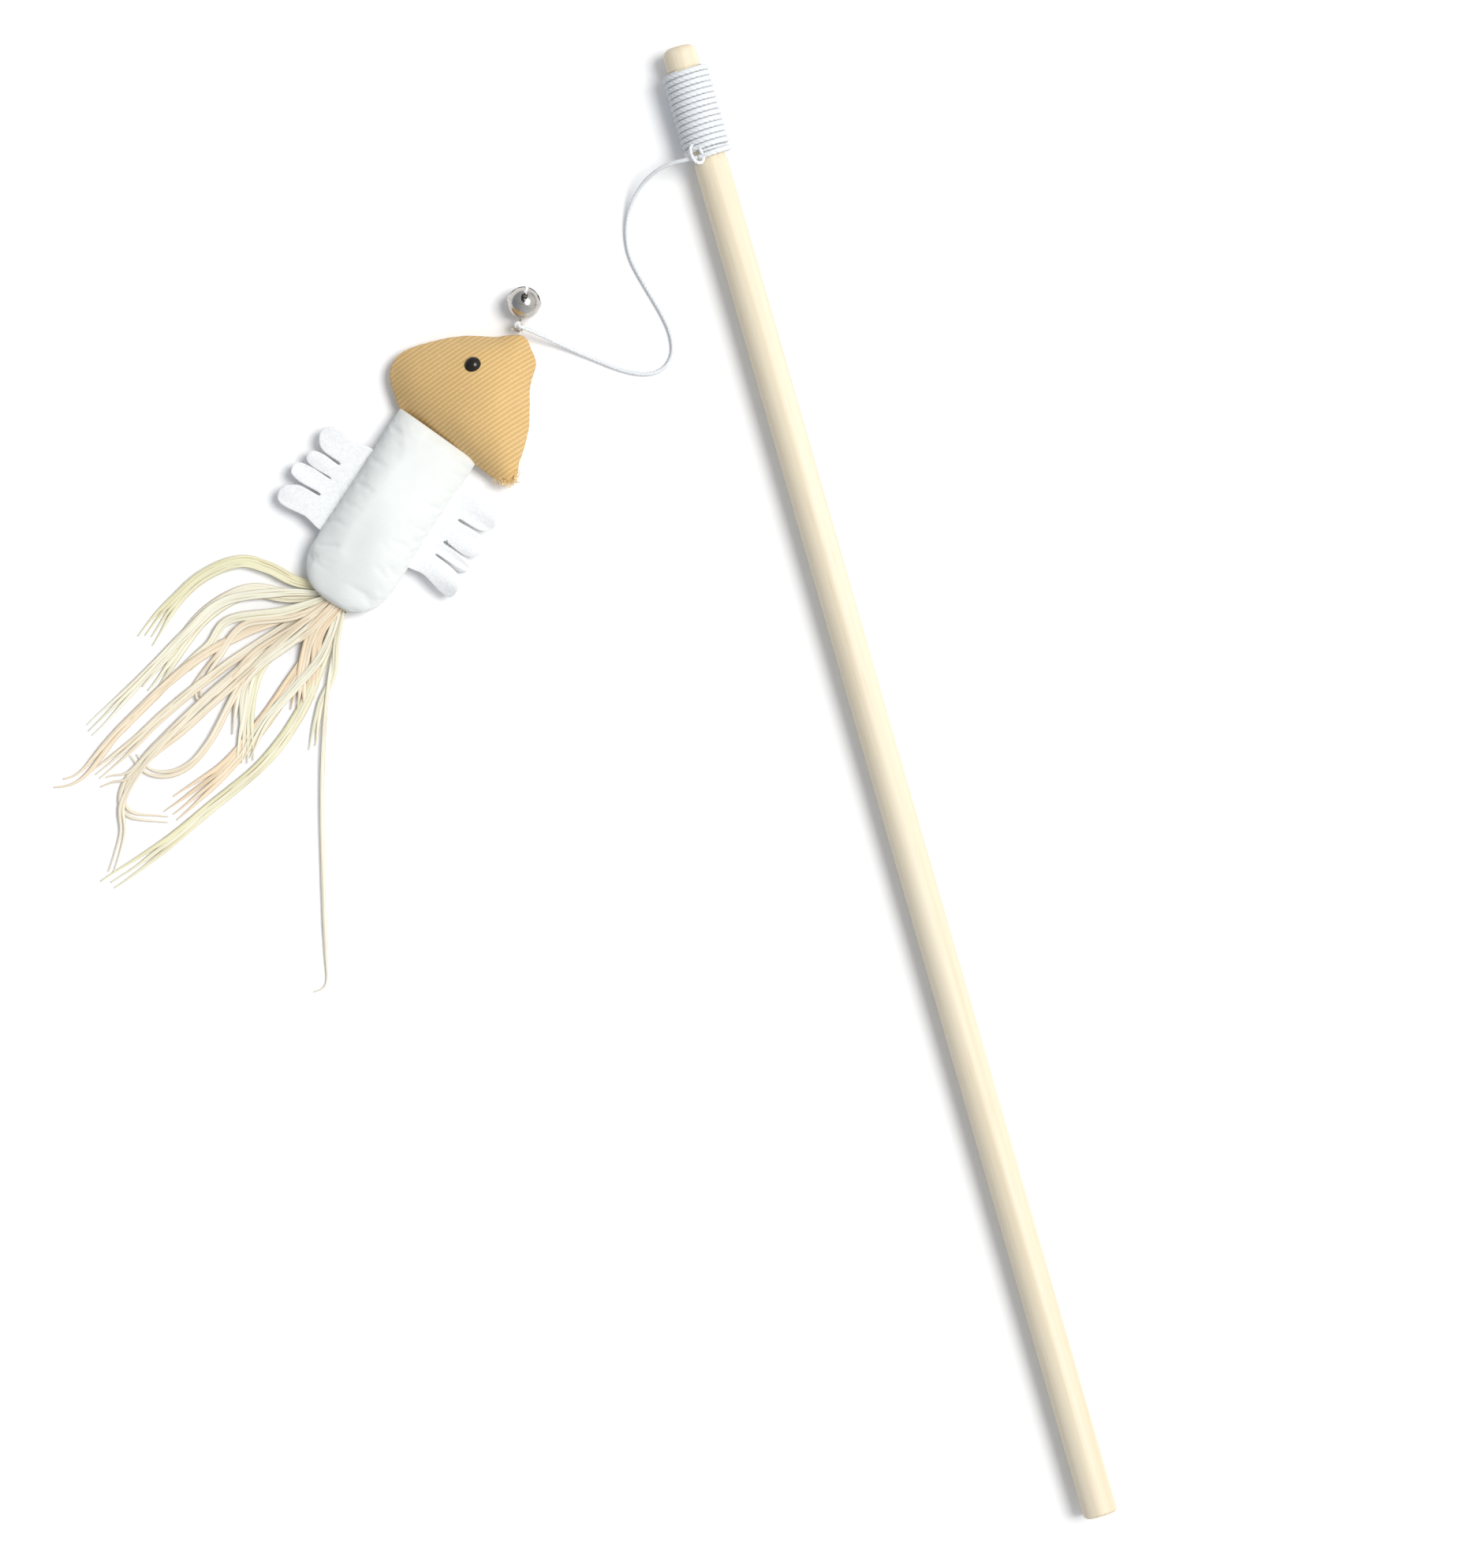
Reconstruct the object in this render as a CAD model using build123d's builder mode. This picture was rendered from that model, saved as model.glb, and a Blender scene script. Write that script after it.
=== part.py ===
"""Cat teaser wand: a wooden stick with a cord-wound tip, a string and a stuffed fish lure.

Millimetres, +Z up. The wand lies on the surface z = 0 with the stick along Y, its tip at +Y, and the lure
on the -X side. The origin is under the middle of the whole outline.
"""

import math
import os

from build123d import *

# Stick
stick_length = 400.0
stick_diameter = 9.0
stick_x = 104.0
tip_round = 2.2
butt_chamfer = 0.6

# Cord, its winding on the tip and its knots
cord_diameter = 1.1
winding_turns = 13
winding_pitch = 1.57
hitch_pitch = 2.6
winding_from_tip = 6.2
winding_clearance = 0.1
inner_layer = 0.8
seat_depth = 0.3
seat_play = 0.2
knot_diameter = 2.2
knot_turn = 120.0

# Clearance between pieces that move past each other
running_gap = 0.3

# String route after the hitch knot: over the stick, down to the surface, round and up to the lure's tie
string_route = [
    (95.6, 170.9, 11.0),
    (90.4, 170.6, 8.9),
    (85.9, 168.8, 5.8),
    (82.0, 165.7, 3.1),
    (79.0, 161.4, 1.4),
    (77.2, 156.4, 0.7),
    (76.7, 151.0, 0.6),
    (77.8, 145.6, 0.6),
    (79.3, 139.9, 0.62),
    (80.8, 134.3, 0.6),
    (81.6, 128.8, 0.6),
    (80.8, 123.6, 0.6),
    (77.4, 120.3, 0.6),
    (72.6, 120.0, 0.62),
    (66.6, 122.9, 0.6),
    (59.4, 128.6, 0.75),
    (53.0, 133.9, 2.3),
    (48.1, 138.1, 4.9),
]
run_share = 0.45

# Lure: the tie where the string ends, and the way the lure points away from it
tie_x = 43.7
tie_y = 141.4
lure_heading = 220.6
tie_offset = 2.4
seam_height = 4.5
eye_wire = 0.6

# Jingle bell
bell_diameter = 8.6
bell_wall = 0.4
bell_tilt = 20.0
bell_turn = 21.0
rim_width = 0.9
rim_proud = 0.25
slit_count = 2
slit_width = 0.8
slit_hole = 1.7
slit_reach = 50.0
shank_height = 2.8
shank_neck = 0.9
pellet_diameter = 2.6

# Stuffed head and body
head_length = 32.5
head_width = 41.2
head_rise = 9.5
head_sink = 5.0
body_length = 52.5
body_width = 23.2
body_rise = 7.5
body_sink = 5.0
cloth = 0.8
seam_allowance = 2.0
bead_diameter = 4.4
bead_along = 15.5
bead_across = -1.5
back_bead_depth = 1.4
bead_clearance = 0.1

# Felt fins: reach from the body's middle line, run along the body and the cuts between their fingers
felt = 2.0
fin_reach = 26.0
fin_root = 9.0
fin_run = 22.0
left_fin_start = 15.0
right_fin_start = 10.0
fin_fingers = 4
fin_cut = 0.8
fin_cut_depth = 9.0
finger_round = 0.8

# Raffia tail: strands lie in flat layers that settle towards the surface, two side by side in each
raffia = 0.25
layer_count = 11
root_low = 2.2
root_step = 0.42
tip_low = 0.3
tip_step = 0.36
tail_reach = 94.0
root_straight = 3.4
root_spread = 1.95
turn_share = 0.4
ease_share = 0.35
strand_widths = (1.4, 3.4, 2.0, 1.1, 2.7)
left_headings = (-46, -42, -38, -34, -31, -28, -25, -22, -18, -13, -9)
right_headings = (-6, -2, 2, 6, 9, 12, 15, 18, 22, 27, 36)
left_lengths = (52, 66, 78, 84, 72, 88, 82, 60, 88, 78, 92)
right_lengths = (96, 72, 84, 58, 76, 50, 66, 44, 56, 38, 106)
stray_width = 0.9
binding_wire = 0.9
binding_run = 1.4

# Places that follow from the sizes above
stick_radius = stick_diameter / 2
cord_radius = cord_diameter / 2
knot_radius = knot_diameter / 2
seat_radius = stick_radius - seat_depth
inner_bore = seat_radius + winding_clearance
inner_radius = inner_bore + inner_layer
winding_radius = inner_radius + winding_clearance + cord_radius
stick_z = winding_radius + cord_radius
tip_y = stick_length / 2
butt_y = -stick_length / 2
bell_radius = bell_diameter / 2
wire_radius = eye_wire / 2
eye_radius = cord_radius + running_gap + wire_radius
eye_reach = eye_radius + wire_radius
nose = eye_reach + running_gap
head_base = nose + head_length
body_end = head_base + body_length
stick_plane = Plane(origin=(stick_x, 0, stick_z), x_dir=(1, 0, 0), z_dir=(0, 1, 0))
heading = Vector(math.cos(math.radians(lure_heading)), math.sin(math.radians(lure_heading)), 0)
across = Vector(-heading.Y, heading.X, 0)
tie = Vector(tie_x, tie_y, 0)
lure_plane = Plane(origin=tie - across * tie_offset, x_dir=heading, z_dir=(0, 0, 1))


def save(piece, name):
    """Label one finished piece and write it to its own file."""
    piece.label = name
    export_step(piece, f"parts/{name}.step")


def lure_point(along, side, height):
    """A point of the lure, measured from the tie along the lure and across its middle line."""
    return lure_plane.from_local_coords(Vector(along, side, height))


os.makedirs("parts", exist_ok=True)

# Stick: a dowel with a shallow turned seat that keeps the winding from slipping off the tip
winding_start = tip_y - winding_from_tip - cord_radius
even_end = winding_start - winding_turns * winding_pitch
hitch_y = even_end - hitch_pitch
seat_top = winding_start + cord_radius + seat_play
seat_foot = hitch_y - knot_radius - 2 * seat_play
with BuildPart() as stick:
    with BuildSketch(stick_plane.offset(butt_y)):
        Circle(stick_radius)
    extrude(amount=stick_length)
    fillet(stick.edges().sort_by(Axis.Y)[-1], tip_round)
    chamfer(stick.edges().sort_by(Axis.Y)[0], butt_chamfer)
    with BuildSketch(stick_plane.offset(seat_foot)):
        Circle(stick_radius)
        Circle(seat_radius, mode=Mode.SUBTRACT)
    extrude(amount=seat_top - seat_foot, mode=Mode.SUBTRACT)
save(stick.part, "stick")

# Inner layer of the winding: cord wound flat on the seat, under the turns that show
inner_end = hitch_y - cord_radius
with BuildPart() as winding_core:
    with BuildSketch(stick_plane.offset(inner_end)):
        Circle(inner_radius)
        Circle(inner_bore, mode=Mode.SUBTRACT)
    extrude(amount=winding_start + cord_radius - inner_end)
    fillet(winding_core.edges().filter_by(GeomType.CIRCLE).group_by(SortBy.RADIUS)[-1], inner_layer / 2)
save(winding_core.part, "winding_core")

# Tip winding: an even helix, then one wider turn that ends over the stick beside the hitch knot
knot_distance = inner_radius + running_gap + knot_radius
end_turn = math.radians(knot_turn) - (knot_radius + running_gap + cord_diameter) / winding_radius


def winding_place(turns):
    """Point and direction of the winding's centre line after a number of turns."""
    angle = end_turn + 2 * math.pi * (turns - winding_turns - 1)
    even = min(turns, winding_turns)
    along = winding_start - even * winding_pitch - (turns - even) * hitch_pitch
    side = winding_radius * math.cos(angle)
    height = winding_radius * math.sin(angle)
    point = Vector(stick_x + side, along, stick_z + height)
    if turns < winding_turns:
        pitch = winding_pitch
    elif turns > winding_turns:
        pitch = hitch_pitch
    else:
        pitch = (winding_pitch + hitch_pitch) / 2
    around = 2 * math.pi * winding_radius
    direction = Vector(-around * math.sin(angle), -pitch, around * math.cos(angle)).normalized()
    return point, direction


def biarc_joint(start, start_way, end, end_way):
    """Point and direction where two arcs meet that leave start and reach end along the given directions."""
    chord = end - start
    ways = start_way + end_way
    square = 2 * (start_way.dot(end_way) - 1)
    linear = -2 * chord.dot(ways)
    root = math.sqrt(linear * linear - 4 * square * chord.dot(chord))
    reach = (-linear - root) / (2 * square)
    near = start + start_way * reach
    far = end - end_way * reach
    return (near + far) * 0.5, (far - near).normalized()


half_turns = [step / 2 for step in range(2 * (winding_turns + 1))]
with BuildPart() as winding:
    with BuildLine():
        first, first_way = winding_place(0)
        Line(first - first_way * cord_diameter, first)
        for turns in half_turns:
            start, start_way = winding_place(turns)
            end, end_way = winding_place(turns + 0.5)
            joint, joint_way = biarc_joint(start, start_way, end, end_way)
            TangentArc(start, joint, tangent=start_way)
            TangentArc(joint, end, tangent=joint_way)
        last, last_way = winding_place(winding_turns + 1)
        Line(last, last + last_way * cord_diameter)
    with BuildSketch(Plane(origin=first - first_way * cord_diameter, z_dir=first_way)):
        Circle(cord_radius)
    sweep()
save(winding.part, "tip_winding")

samples = 24
winding_points = [winding_place(step / samples)[0] for step in range(samples * (winding_turns + 1) + 1)]
winding_gap = min(
    (near - far).length
    for place, near in enumerate(winding_points)
    for far in winding_points[place + samples // 2:]
) - cord_diameter
print(f"tip_winding least gap to itself {winding_gap:.2f} mm")

# String: one tube from the hitch knot to the tie knot, then down through the two eyes to its end knot
knot_angle = math.radians(knot_turn)
hitch = Vector(
    stick_x + knot_distance * math.cos(knot_angle),
    hitch_y,
    stick_z + knot_distance * math.sin(knot_angle),
)
tie_knot_z = seam_height + wire_radius + running_gap + knot_radius
eye_drop = eye_radius * math.sin(math.radians(bell_tilt)) + wire_radius
end_knot_radius = cord_radius + running_gap / 2
end_knot_z = shank_height - eye_drop - running_gap - end_knot_radius
string_points = [hitch] + [Vector(*point) for point in string_route] + [Vector(tie_x, tie_y, tie_knot_z)]
string_radii = []
for before, corner, after in zip(string_points, string_points[1:], string_points[2:]):
    half_bend = math.radians((corner - before).get_angle(after - corner)) / 2
    shorter = min((corner - before).length, (after - corner).length)
    string_radii.append(run_share * shorter / math.tan(half_bend))
print("lure_string radii", [round(radius, 1) for radius in string_radii])

with BuildPart() as string:
    with BuildLine() as string_line:
        FilletPolyline(*string_points, radius=string_radii)
    with BuildSketch(Plane(origin=string_points[0], z_dir=string_points[1] - string_points[0])):
        Circle(cord_radius)
    sweep()
    tube_volume = string.part.volume
    with Locations(string_points[0], string_points[-1]):
        Sphere(knot_radius)
    with BuildSketch(Plane(origin=(tie_x, tie_y, end_knot_z), z_dir=(0, 0, 1))):
        Circle(cord_radius)
    extrude(amount=tie_knot_z - end_knot_z)
    with Locations((tie_x, tie_y, end_knot_z)):
        Sphere(end_knot_radius)
string_length = string_line.wire().length
section_volume = math.pi * cord_radius ** 2 * string_length
print(f"lure_string length {string_length:.1f} mm")
print(f"lure_string volume over section times length {tube_volume / section_volume:.3f}")
save(string.part, "lure_string")

# Bell: two shells on one slanting axis, a wire eye at the top and a loose pellet inside
bell_side = math.radians(lure_heading + 180 + bell_turn)
tilt = math.radians(bell_tilt)
bell_reach = bell_radius + rim_proud + eye_reach + running_gap
bell_out = Vector(math.cos(bell_side), math.sin(bell_side), 0)
bell_axis = bell_out * math.cos(tilt) + Vector(0, 0, math.sin(tilt))
eye_center = Vector(tie_x, tie_y, shank_height)
bell_center = eye_center + bell_axis * (bell_reach / math.cos(tilt))
bell_level = Vector(0, 0, 1).cross(bell_out)
bell_plane = Plane(origin=bell_center, x_dir=bell_level, z_dir=bell_axis)
shell_plane = Plane(origin=bell_center, x_dir=bell_axis, z_dir=bell_level)
bore_radius = bell_radius - bell_wall

with BuildPart() as bell_upper_shell:
    with BuildSketch(shell_plane):
        with BuildLine():
            RadiusArc((0, bell_radius), (-bell_radius, 0), -bell_radius)
            Line((-bell_radius, 0), (-bore_radius, 0))
            RadiusArc((-bore_radius, 0), (0, bore_radius), bore_radius)
            Line((0, bore_radius), (0, bell_radius))
        make_face()
    revolve(axis=Axis(bell_center, bell_axis))
save(bell_upper_shell.part, "bell_upper_shell")

with BuildPart() as bell_lower_shell:
    with BuildSketch(shell_plane):
        with BuildLine():
            RadiusArc((0, bell_radius), (bell_radius, 0), bell_radius)
            Line((bell_radius, 0), (bore_radius, 0))
            RadiusArc((bore_radius, 0), (0, bore_radius), -bore_radius)
            Line((0, bore_radius), (0, bell_radius))
        make_face()
        with Locations((rim_width / 2, bell_radius - bell_wall / 2 + rim_proud)):
            Rectangle(rim_width, bell_wall)
    revolve(axis=Axis(bell_center, bell_axis))
    slit_tip = bell_radius * math.sin(math.radians(slit_reach))
    with BuildSketch(bell_plane.offset(rim_width)):
        with PolarLocations(0, slit_count, angular_range=180):
            Rectangle(slit_width, 2 * slit_tip)
        with PolarLocations(slit_tip, 2 * slit_count):
            Circle(slit_hole / 2)
    extrude(amount=2 * bell_radius, mode=Mode.SUBTRACT)
save(bell_lower_shell.part, "bell_lower_shell")

with BuildPart() as bell_shank:
    eye_plane = Plane(origin=eye_center, x_dir=bell_axis, z_dir=bell_axis.cross(bell_level))
    with BuildSketch(Plane(origin=eye_center, x_dir=bell_level, z_dir=bell_axis)):
        with Locations((eye_radius, 0)):
            Circle(wire_radius)
    revolve(axis=Axis(eye_center, eye_plane.z_dir))
    with BuildSketch(Plane(origin=eye_center + bell_axis * eye_radius, z_dir=bell_axis)):
        Circle(shank_neck / 2)
    extrude(amount=bell_reach / math.cos(tilt) - eye_radius - bore_radius)
    with Locations(Plane(origin=bell_center)):
        Sphere(bell_radius, mode=Mode.SUBTRACT)
    with BuildSketch(eye_plane):
        Circle(eye_radius - wire_radius)
    extrude(amount=shank_neck, both=True, mode=Mode.SUBTRACT)
save(bell_shank.part, "bell_shank")

with BuildPart() as bell_pellet:
    pellet_radius = pellet_diameter / 2
    with Locations(bell_center - Vector(0, 0, bore_radius - running_gap - pellet_radius)):
        Sphere(pellet_radius)
save(bell_pellet.part, "bell_pellet")

# Hang loop: an eye round the string's end with two legs into the nose seam
with BuildPart() as hang_loop:
    loop_plane = Plane(origin=(tie_x, tie_y, seam_height), x_dir=heading, z_dir=(0, 0, 1))
    with BuildLine(loop_plane):
        Line((nose, eye_radius), (0, eye_radius))
        ThreePointArc((0, eye_radius), (-eye_radius, 0), (0, -eye_radius))
        Line((0, -eye_radius), (nose, -eye_radius))
    leg_start = loop_plane.from_local_coords(Vector(nose, eye_radius, 0))
    with BuildSketch(Plane(origin=leg_start, z_dir=heading)):
        Circle(wire_radius)
    sweep()
save(hang_loop.part, "hang_loop")

# Stuffed forms: lens sections whose two arcs meet in the seam. Each row gives the place along the form,
# the middle and half width across it, and the rise and sink from the seam, all as parts of its sizes.
head_rows = [
    (0.00, 0.110, 0.150, 0.24, 0.44),
    (0.12, 0.170, 0.330, 0.48, 0.72),
    (0.30, 0.060, 0.600, 0.80, 1.00),
    (0.52, 0.010, 0.870, 1.00, 1.00),
    (0.72, 0.010, 0.985, 0.98, 1.00),
    (0.90, 0.080, 0.960, 0.80, 0.95),
    (1.00, 0.180, 0.850, 0.62, 0.84),
]
body_rows = [
    (0.00, 0.0, 0.97, 0.70, 0.86),
    (0.20, 0.0, 0.98, 0.94, 1.00),
    (0.55, 0.0, 1.00, 1.00, 1.00),
    (0.80, 0.0, 0.98, 0.94, 1.00),
    (0.93, 0.0, 0.83, 0.72, 0.88),
    (1.00, 0.0, 0.52, 0.46, 0.64),
]


def stuffed_form(rows, start, length, width, rise, sink, inset, floor):
    """A swelling closed form along the lure, drawn in by inset from its outline and flat on the floor."""
    with BuildPart() as form:
        for place, middle, half, up, down in rows:
            along = start + place * length + inset * (1 - 2 * place)
            side = half * width / 2 - inset
            center = lure_point(along, middle * width / 2, seam_height)
            top = up * rise - floor
            bottom = down * sink - floor
            with BuildSketch(Plane(origin=center, x_dir=across, z_dir=heading)):
                with BuildLine():
                    ThreePointArc((-side, 0), (0, top), (side, 0))
                    ThreePointArc((side, 0), (0, -bottom), (-side, 0))
                make_face()
        loft()
        split(bisect_by=Plane.XY.offset(floor), keep=Keep.TOP)
    return form.part


seam_plane = Plane.XY.offset(seam_height)
head_size = (nose, head_length, head_width, head_rise, head_sink)
head_outer = stuffed_form(head_rows, *head_size, 0, 0)
head_inner = stuffed_form(head_rows, *head_size, seam_allowance, cloth)
body_size = (head_base, body_length, body_width, body_rise, body_sink)
body_outer = stuffed_form(body_rows, *body_size, 0, 0)
body_inner = stuffed_form(body_rows, *body_size, seam_allowance, cloth)

# Eye beads: the front one sits on the panel, the back one is pressed flush into the underside
bead_radius = bead_diameter / 2
bead_foot = lure_point(nose + bead_along, bead_across, 0)
bead_line = Axis(bead_foot, (0, 0, 1))
panel_top = head_outer.find_intersection_points(bead_line)[-1][0]
with BuildPart() as eye_front:
    with Locations(panel_top):
        Sphere(bead_radius)
    add(head_outer, mode=Mode.SUBTRACT)
save(eye_front.part, "eye_front")

with BuildPart() as eye_back:
    with BuildSketch(Plane(origin=bead_foot)):
        Circle(bead_radius)
    extrude(amount=back_bead_depth)
    fillet(eye_back.edges().sort_by(Axis.Z)[-1], back_bead_depth / 2)
save(eye_back.part, "eye_back")

with BuildPart() as back_bead_seat:
    with BuildSketch(Plane(origin=bead_foot)):
        Circle(bead_radius + bead_clearance)
    extrude(amount=back_bead_depth + bead_clearance)

with BuildPart() as head_front_panel:
    add(head_outer)
    add(head_inner, mode=Mode.SUBTRACT)
    split(bisect_by=seam_plane, keep=Keep.TOP)
save(head_front_panel.part, "head_front_panel")

with BuildPart() as head_back_panel:
    add(head_outer)
    add(head_inner, mode=Mode.SUBTRACT)
    split(bisect_by=seam_plane, keep=Keep.BOTTOM)
    add(back_bead_seat.part, mode=Mode.SUBTRACT)
save(head_back_panel.part, "head_back_panel")

with BuildPart() as head_filling:
    add(head_inner)
    add(back_bead_seat.part, mode=Mode.SUBTRACT)
save(head_filling.part, "head_filling")

with BuildPart() as body_front_panel:
    add(body_outer)
    add(body_inner, mode=Mode.SUBTRACT)
    split(bisect_by=seam_plane, keep=Keep.TOP)
save(body_front_panel.part, "body_front_panel")

with BuildPart() as body_back_panel:
    add(body_outer)
    add(body_inner, mode=Mode.SUBTRACT)
    split(bisect_by=seam_plane, keep=Keep.BOTTOM)
save(body_back_panel.part, "body_back_panel")

save(body_inner, "body_filling")


# Felt fins: one fringed piece on each side, sewn into the side seam
def felt_fin(start, side):
    """A flat felt fin on one side of the body, cut into round-ended fingers from its outer edge."""
    middle = lure_point(head_base + start + fin_run / 2, 0, seam_height - felt / 2)
    finger = fin_run / fin_fingers
    with BuildPart() as fin:
        with BuildSketch(Plane(origin=middle, x_dir=heading, z_dir=(0, 0, 1))) as outline:
            with Locations((0, side * (fin_root + fin_reach) / 2)):
                Rectangle(fin_run, fin_reach - fin_root)
            with Locations((0, side * (fin_reach - fin_cut_depth / 2))):
                with GridLocations(finger, 0, fin_fingers - 1, 1):
                    Rectangle(fin_cut, fin_cut_depth, mode=Mode.SUBTRACT)
            rows = outline.vertices().group_by(Axis.Y)
            fillet(rows[-1] if side > 0 else rows[0], finger_round * (finger - fin_cut) / 2)
        extrude(amount=felt)
        add(body_outer, mode=Mode.SUBTRACT)
    return fin.part


save(felt_fin(left_fin_start, -1), "fin_left")
save(felt_fin(right_fin_start, 1), "fin_right")


# Raffia tail: each strand leaves the body straight, bends to its heading and eases back a little
def raffia_strand(layer, side, strand_heading, length, width):
    """One flat strand in its layer, on one side of the layer's middle line."""
    root_height = root_low + layer * root_step
    drop = root_height - tip_low - layer * tip_step
    slope = math.atan2(drop, tail_reach)
    way = heading * math.cos(slope) - Vector(0, 0, math.sin(slope))
    layer_plane = Plane(origin=lure_point(body_end, 0, root_height), x_dir=way, z_dir=way.cross(across))
    bend_run = turn_share * length
    ease = -ease_share * strand_heading
    bend_radius = bend_run / math.radians(abs(strand_heading))
    ease_radius = (length - bend_run) / math.radians(abs(ease))
    with BuildPart() as strand:
        with BuildSketch(layer_plane):
            with BuildLine():
                root = Line((0, side * root_spread), (root_straight, side * root_spread))
                turn = JernArc(root @ 1, root % 1, bend_radius, strand_heading)
                JernArc(turn @ 1, turn % 1, ease_radius, ease)
            trace(line_width=width)
        extrude(amount=raffia)
    return strand.part


for layer in range(layer_count):
    left_width = strand_widths[layer % len(strand_widths)]
    right_width = strand_widths[-1 - layer % len(strand_widths)]
    pair = (
        (-1, left_headings[layer], left_lengths[layer], left_width),
        (1, right_headings[layer], right_lengths[layer], right_width),
    )
    for side, strand_heading, length, width in pair:
        stray = side > 0 and layer == layer_count - 1
        strand = raffia_strand(layer, side, strand_heading, length, stray_width if stray else width)
        number = 2 * layer + (1 if side < 0 else 2)
        save(strand, "raffia_stray_strand" if stray else f"raffia_strand_{number:02d}")

# Binding round the strands where they leave the body
with BuildPart() as tail_binding:
    bundle_width = 2 * root_spread + max(strand_widths)
    bundle_height = (layer_count - 1) * root_step + raffia
    bundle_middle = lure_point(body_end + running_gap, 0, root_low + bundle_height / 2)
    with BuildSketch(Plane(origin=bundle_middle, x_dir=across, z_dir=heading)):
        RectangleRounded(
            bundle_width + 2 * (running_gap + binding_wire),
            bundle_height + 2 * (running_gap + binding_wire),
            binding_wire + running_gap,
        )
        RectangleRounded(
            bundle_width + 2 * running_gap,
            bundle_height + 2 * running_gap,
            running_gap,
            mode=Mode.SUBTRACT,
        )
    extrude(amount=binding_run)
save(tail_binding.part, "tail_binding")
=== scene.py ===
import math

import bmesh
import bpy
from mathutils import Matrix, Vector, geometry, noise


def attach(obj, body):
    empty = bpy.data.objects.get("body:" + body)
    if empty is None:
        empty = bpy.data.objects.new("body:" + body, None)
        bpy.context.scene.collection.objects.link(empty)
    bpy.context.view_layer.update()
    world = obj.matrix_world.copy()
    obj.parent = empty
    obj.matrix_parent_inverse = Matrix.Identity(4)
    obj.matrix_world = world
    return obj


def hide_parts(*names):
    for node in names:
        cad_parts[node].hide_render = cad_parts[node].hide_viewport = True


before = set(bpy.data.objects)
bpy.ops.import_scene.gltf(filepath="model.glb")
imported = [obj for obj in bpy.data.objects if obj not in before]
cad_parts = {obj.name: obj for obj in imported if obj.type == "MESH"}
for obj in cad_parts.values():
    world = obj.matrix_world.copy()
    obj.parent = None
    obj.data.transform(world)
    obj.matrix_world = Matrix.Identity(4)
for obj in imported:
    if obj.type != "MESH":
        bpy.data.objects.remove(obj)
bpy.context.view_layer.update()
FULL_TURN = 2 * math.pi

# Sizes in millimetres, as in the part's source. The lure's own frame runs along it from the tie, with the
# side measured from its middle line.
MM = 0.001
STICK_X = 104.0
STICK_Z = 6.3
TIE = Vector((43.7, 141.4, 0.0))
TIE_OFFSET = 2.4
LURE_HEADING = math.radians(220.6)
ALONG = Vector((math.cos(LURE_HEADING), math.sin(LURE_HEADING), 0.0))
ACROSS = Vector((-ALONG.y, ALONG.x, 0.0))
LURE = TIE - TIE_OFFSET * ACROSS
SEAM = 4.5
HITCH = (100.75, 170.24, 11.93)
TIE_KNOT = (43.7, 141.4, 6.2)
STRING_ROUTE = [
    HITCH,
    (95.6, 170.9, 11.0),
    (90.4, 170.6, 8.9),
    (85.9, 168.8, 5.8),
    (82.0, 165.7, 3.1),
    (79.0, 161.4, 1.4),
    (77.2, 156.4, 0.7),
    (76.7, 151.0, 0.6),
    (77.8, 145.6, 0.6),
    (79.3, 139.9, 0.62),
    (80.8, 134.3, 0.6),
    (81.6, 128.8, 0.6),
    (80.8, 123.6, 0.6),
    (77.4, 120.3, 0.6),
    (72.6, 120.0, 0.62),
    (66.6, 122.9, 0.6),
    (59.4, 128.6, 0.75),
    (53.0, 133.9, 2.3),
    (48.1, 138.1, 4.9),
    TIE_KNOT,
]


def on_lure(along, side, height):
    """Place on the lure, given in its own millimetres, as metres in the shared frame."""
    return (LURE + along * ALONG + side * ACROSS + Vector((0, 0, height))) * MM


def lure_matrix(along, side, height):
    """Turns a shape drawn along X into the lure's direction and sets it at a place on the lure."""
    turn = Matrix.Rotation(LURE_HEADING, 4, "Z")
    return Matrix.Translation(on_lure(along, side, height)) @ turn


class Link:
    """One output of a node tree. Arithmetic on it adds Math nodes, with plain numbers on either side."""

    def __init__(self, kit, socket):
        self.kit = kit
        self.socket = socket

    def __add__(self, other):
        return self.kit.maths("ADD", self, other)

    def __radd__(self, other):
        return self.kit.maths("ADD", other, self)

    def __sub__(self, other):
        return self.kit.maths("SUBTRACT", self, other)

    def __rsub__(self, other):
        return self.kit.maths("SUBTRACT", other, self)

    def __mul__(self, other):
        return self.kit.maths("MULTIPLY", self, other)

    def __rmul__(self, other):
        return self.kit.maths("MULTIPLY", other, self)

    def __truediv__(self, other):
        return self.kit.maths("DIVIDE", self, other)

    def __rtruediv__(self, other):
        return self.kit.maths("DIVIDE", other, self)


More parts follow.
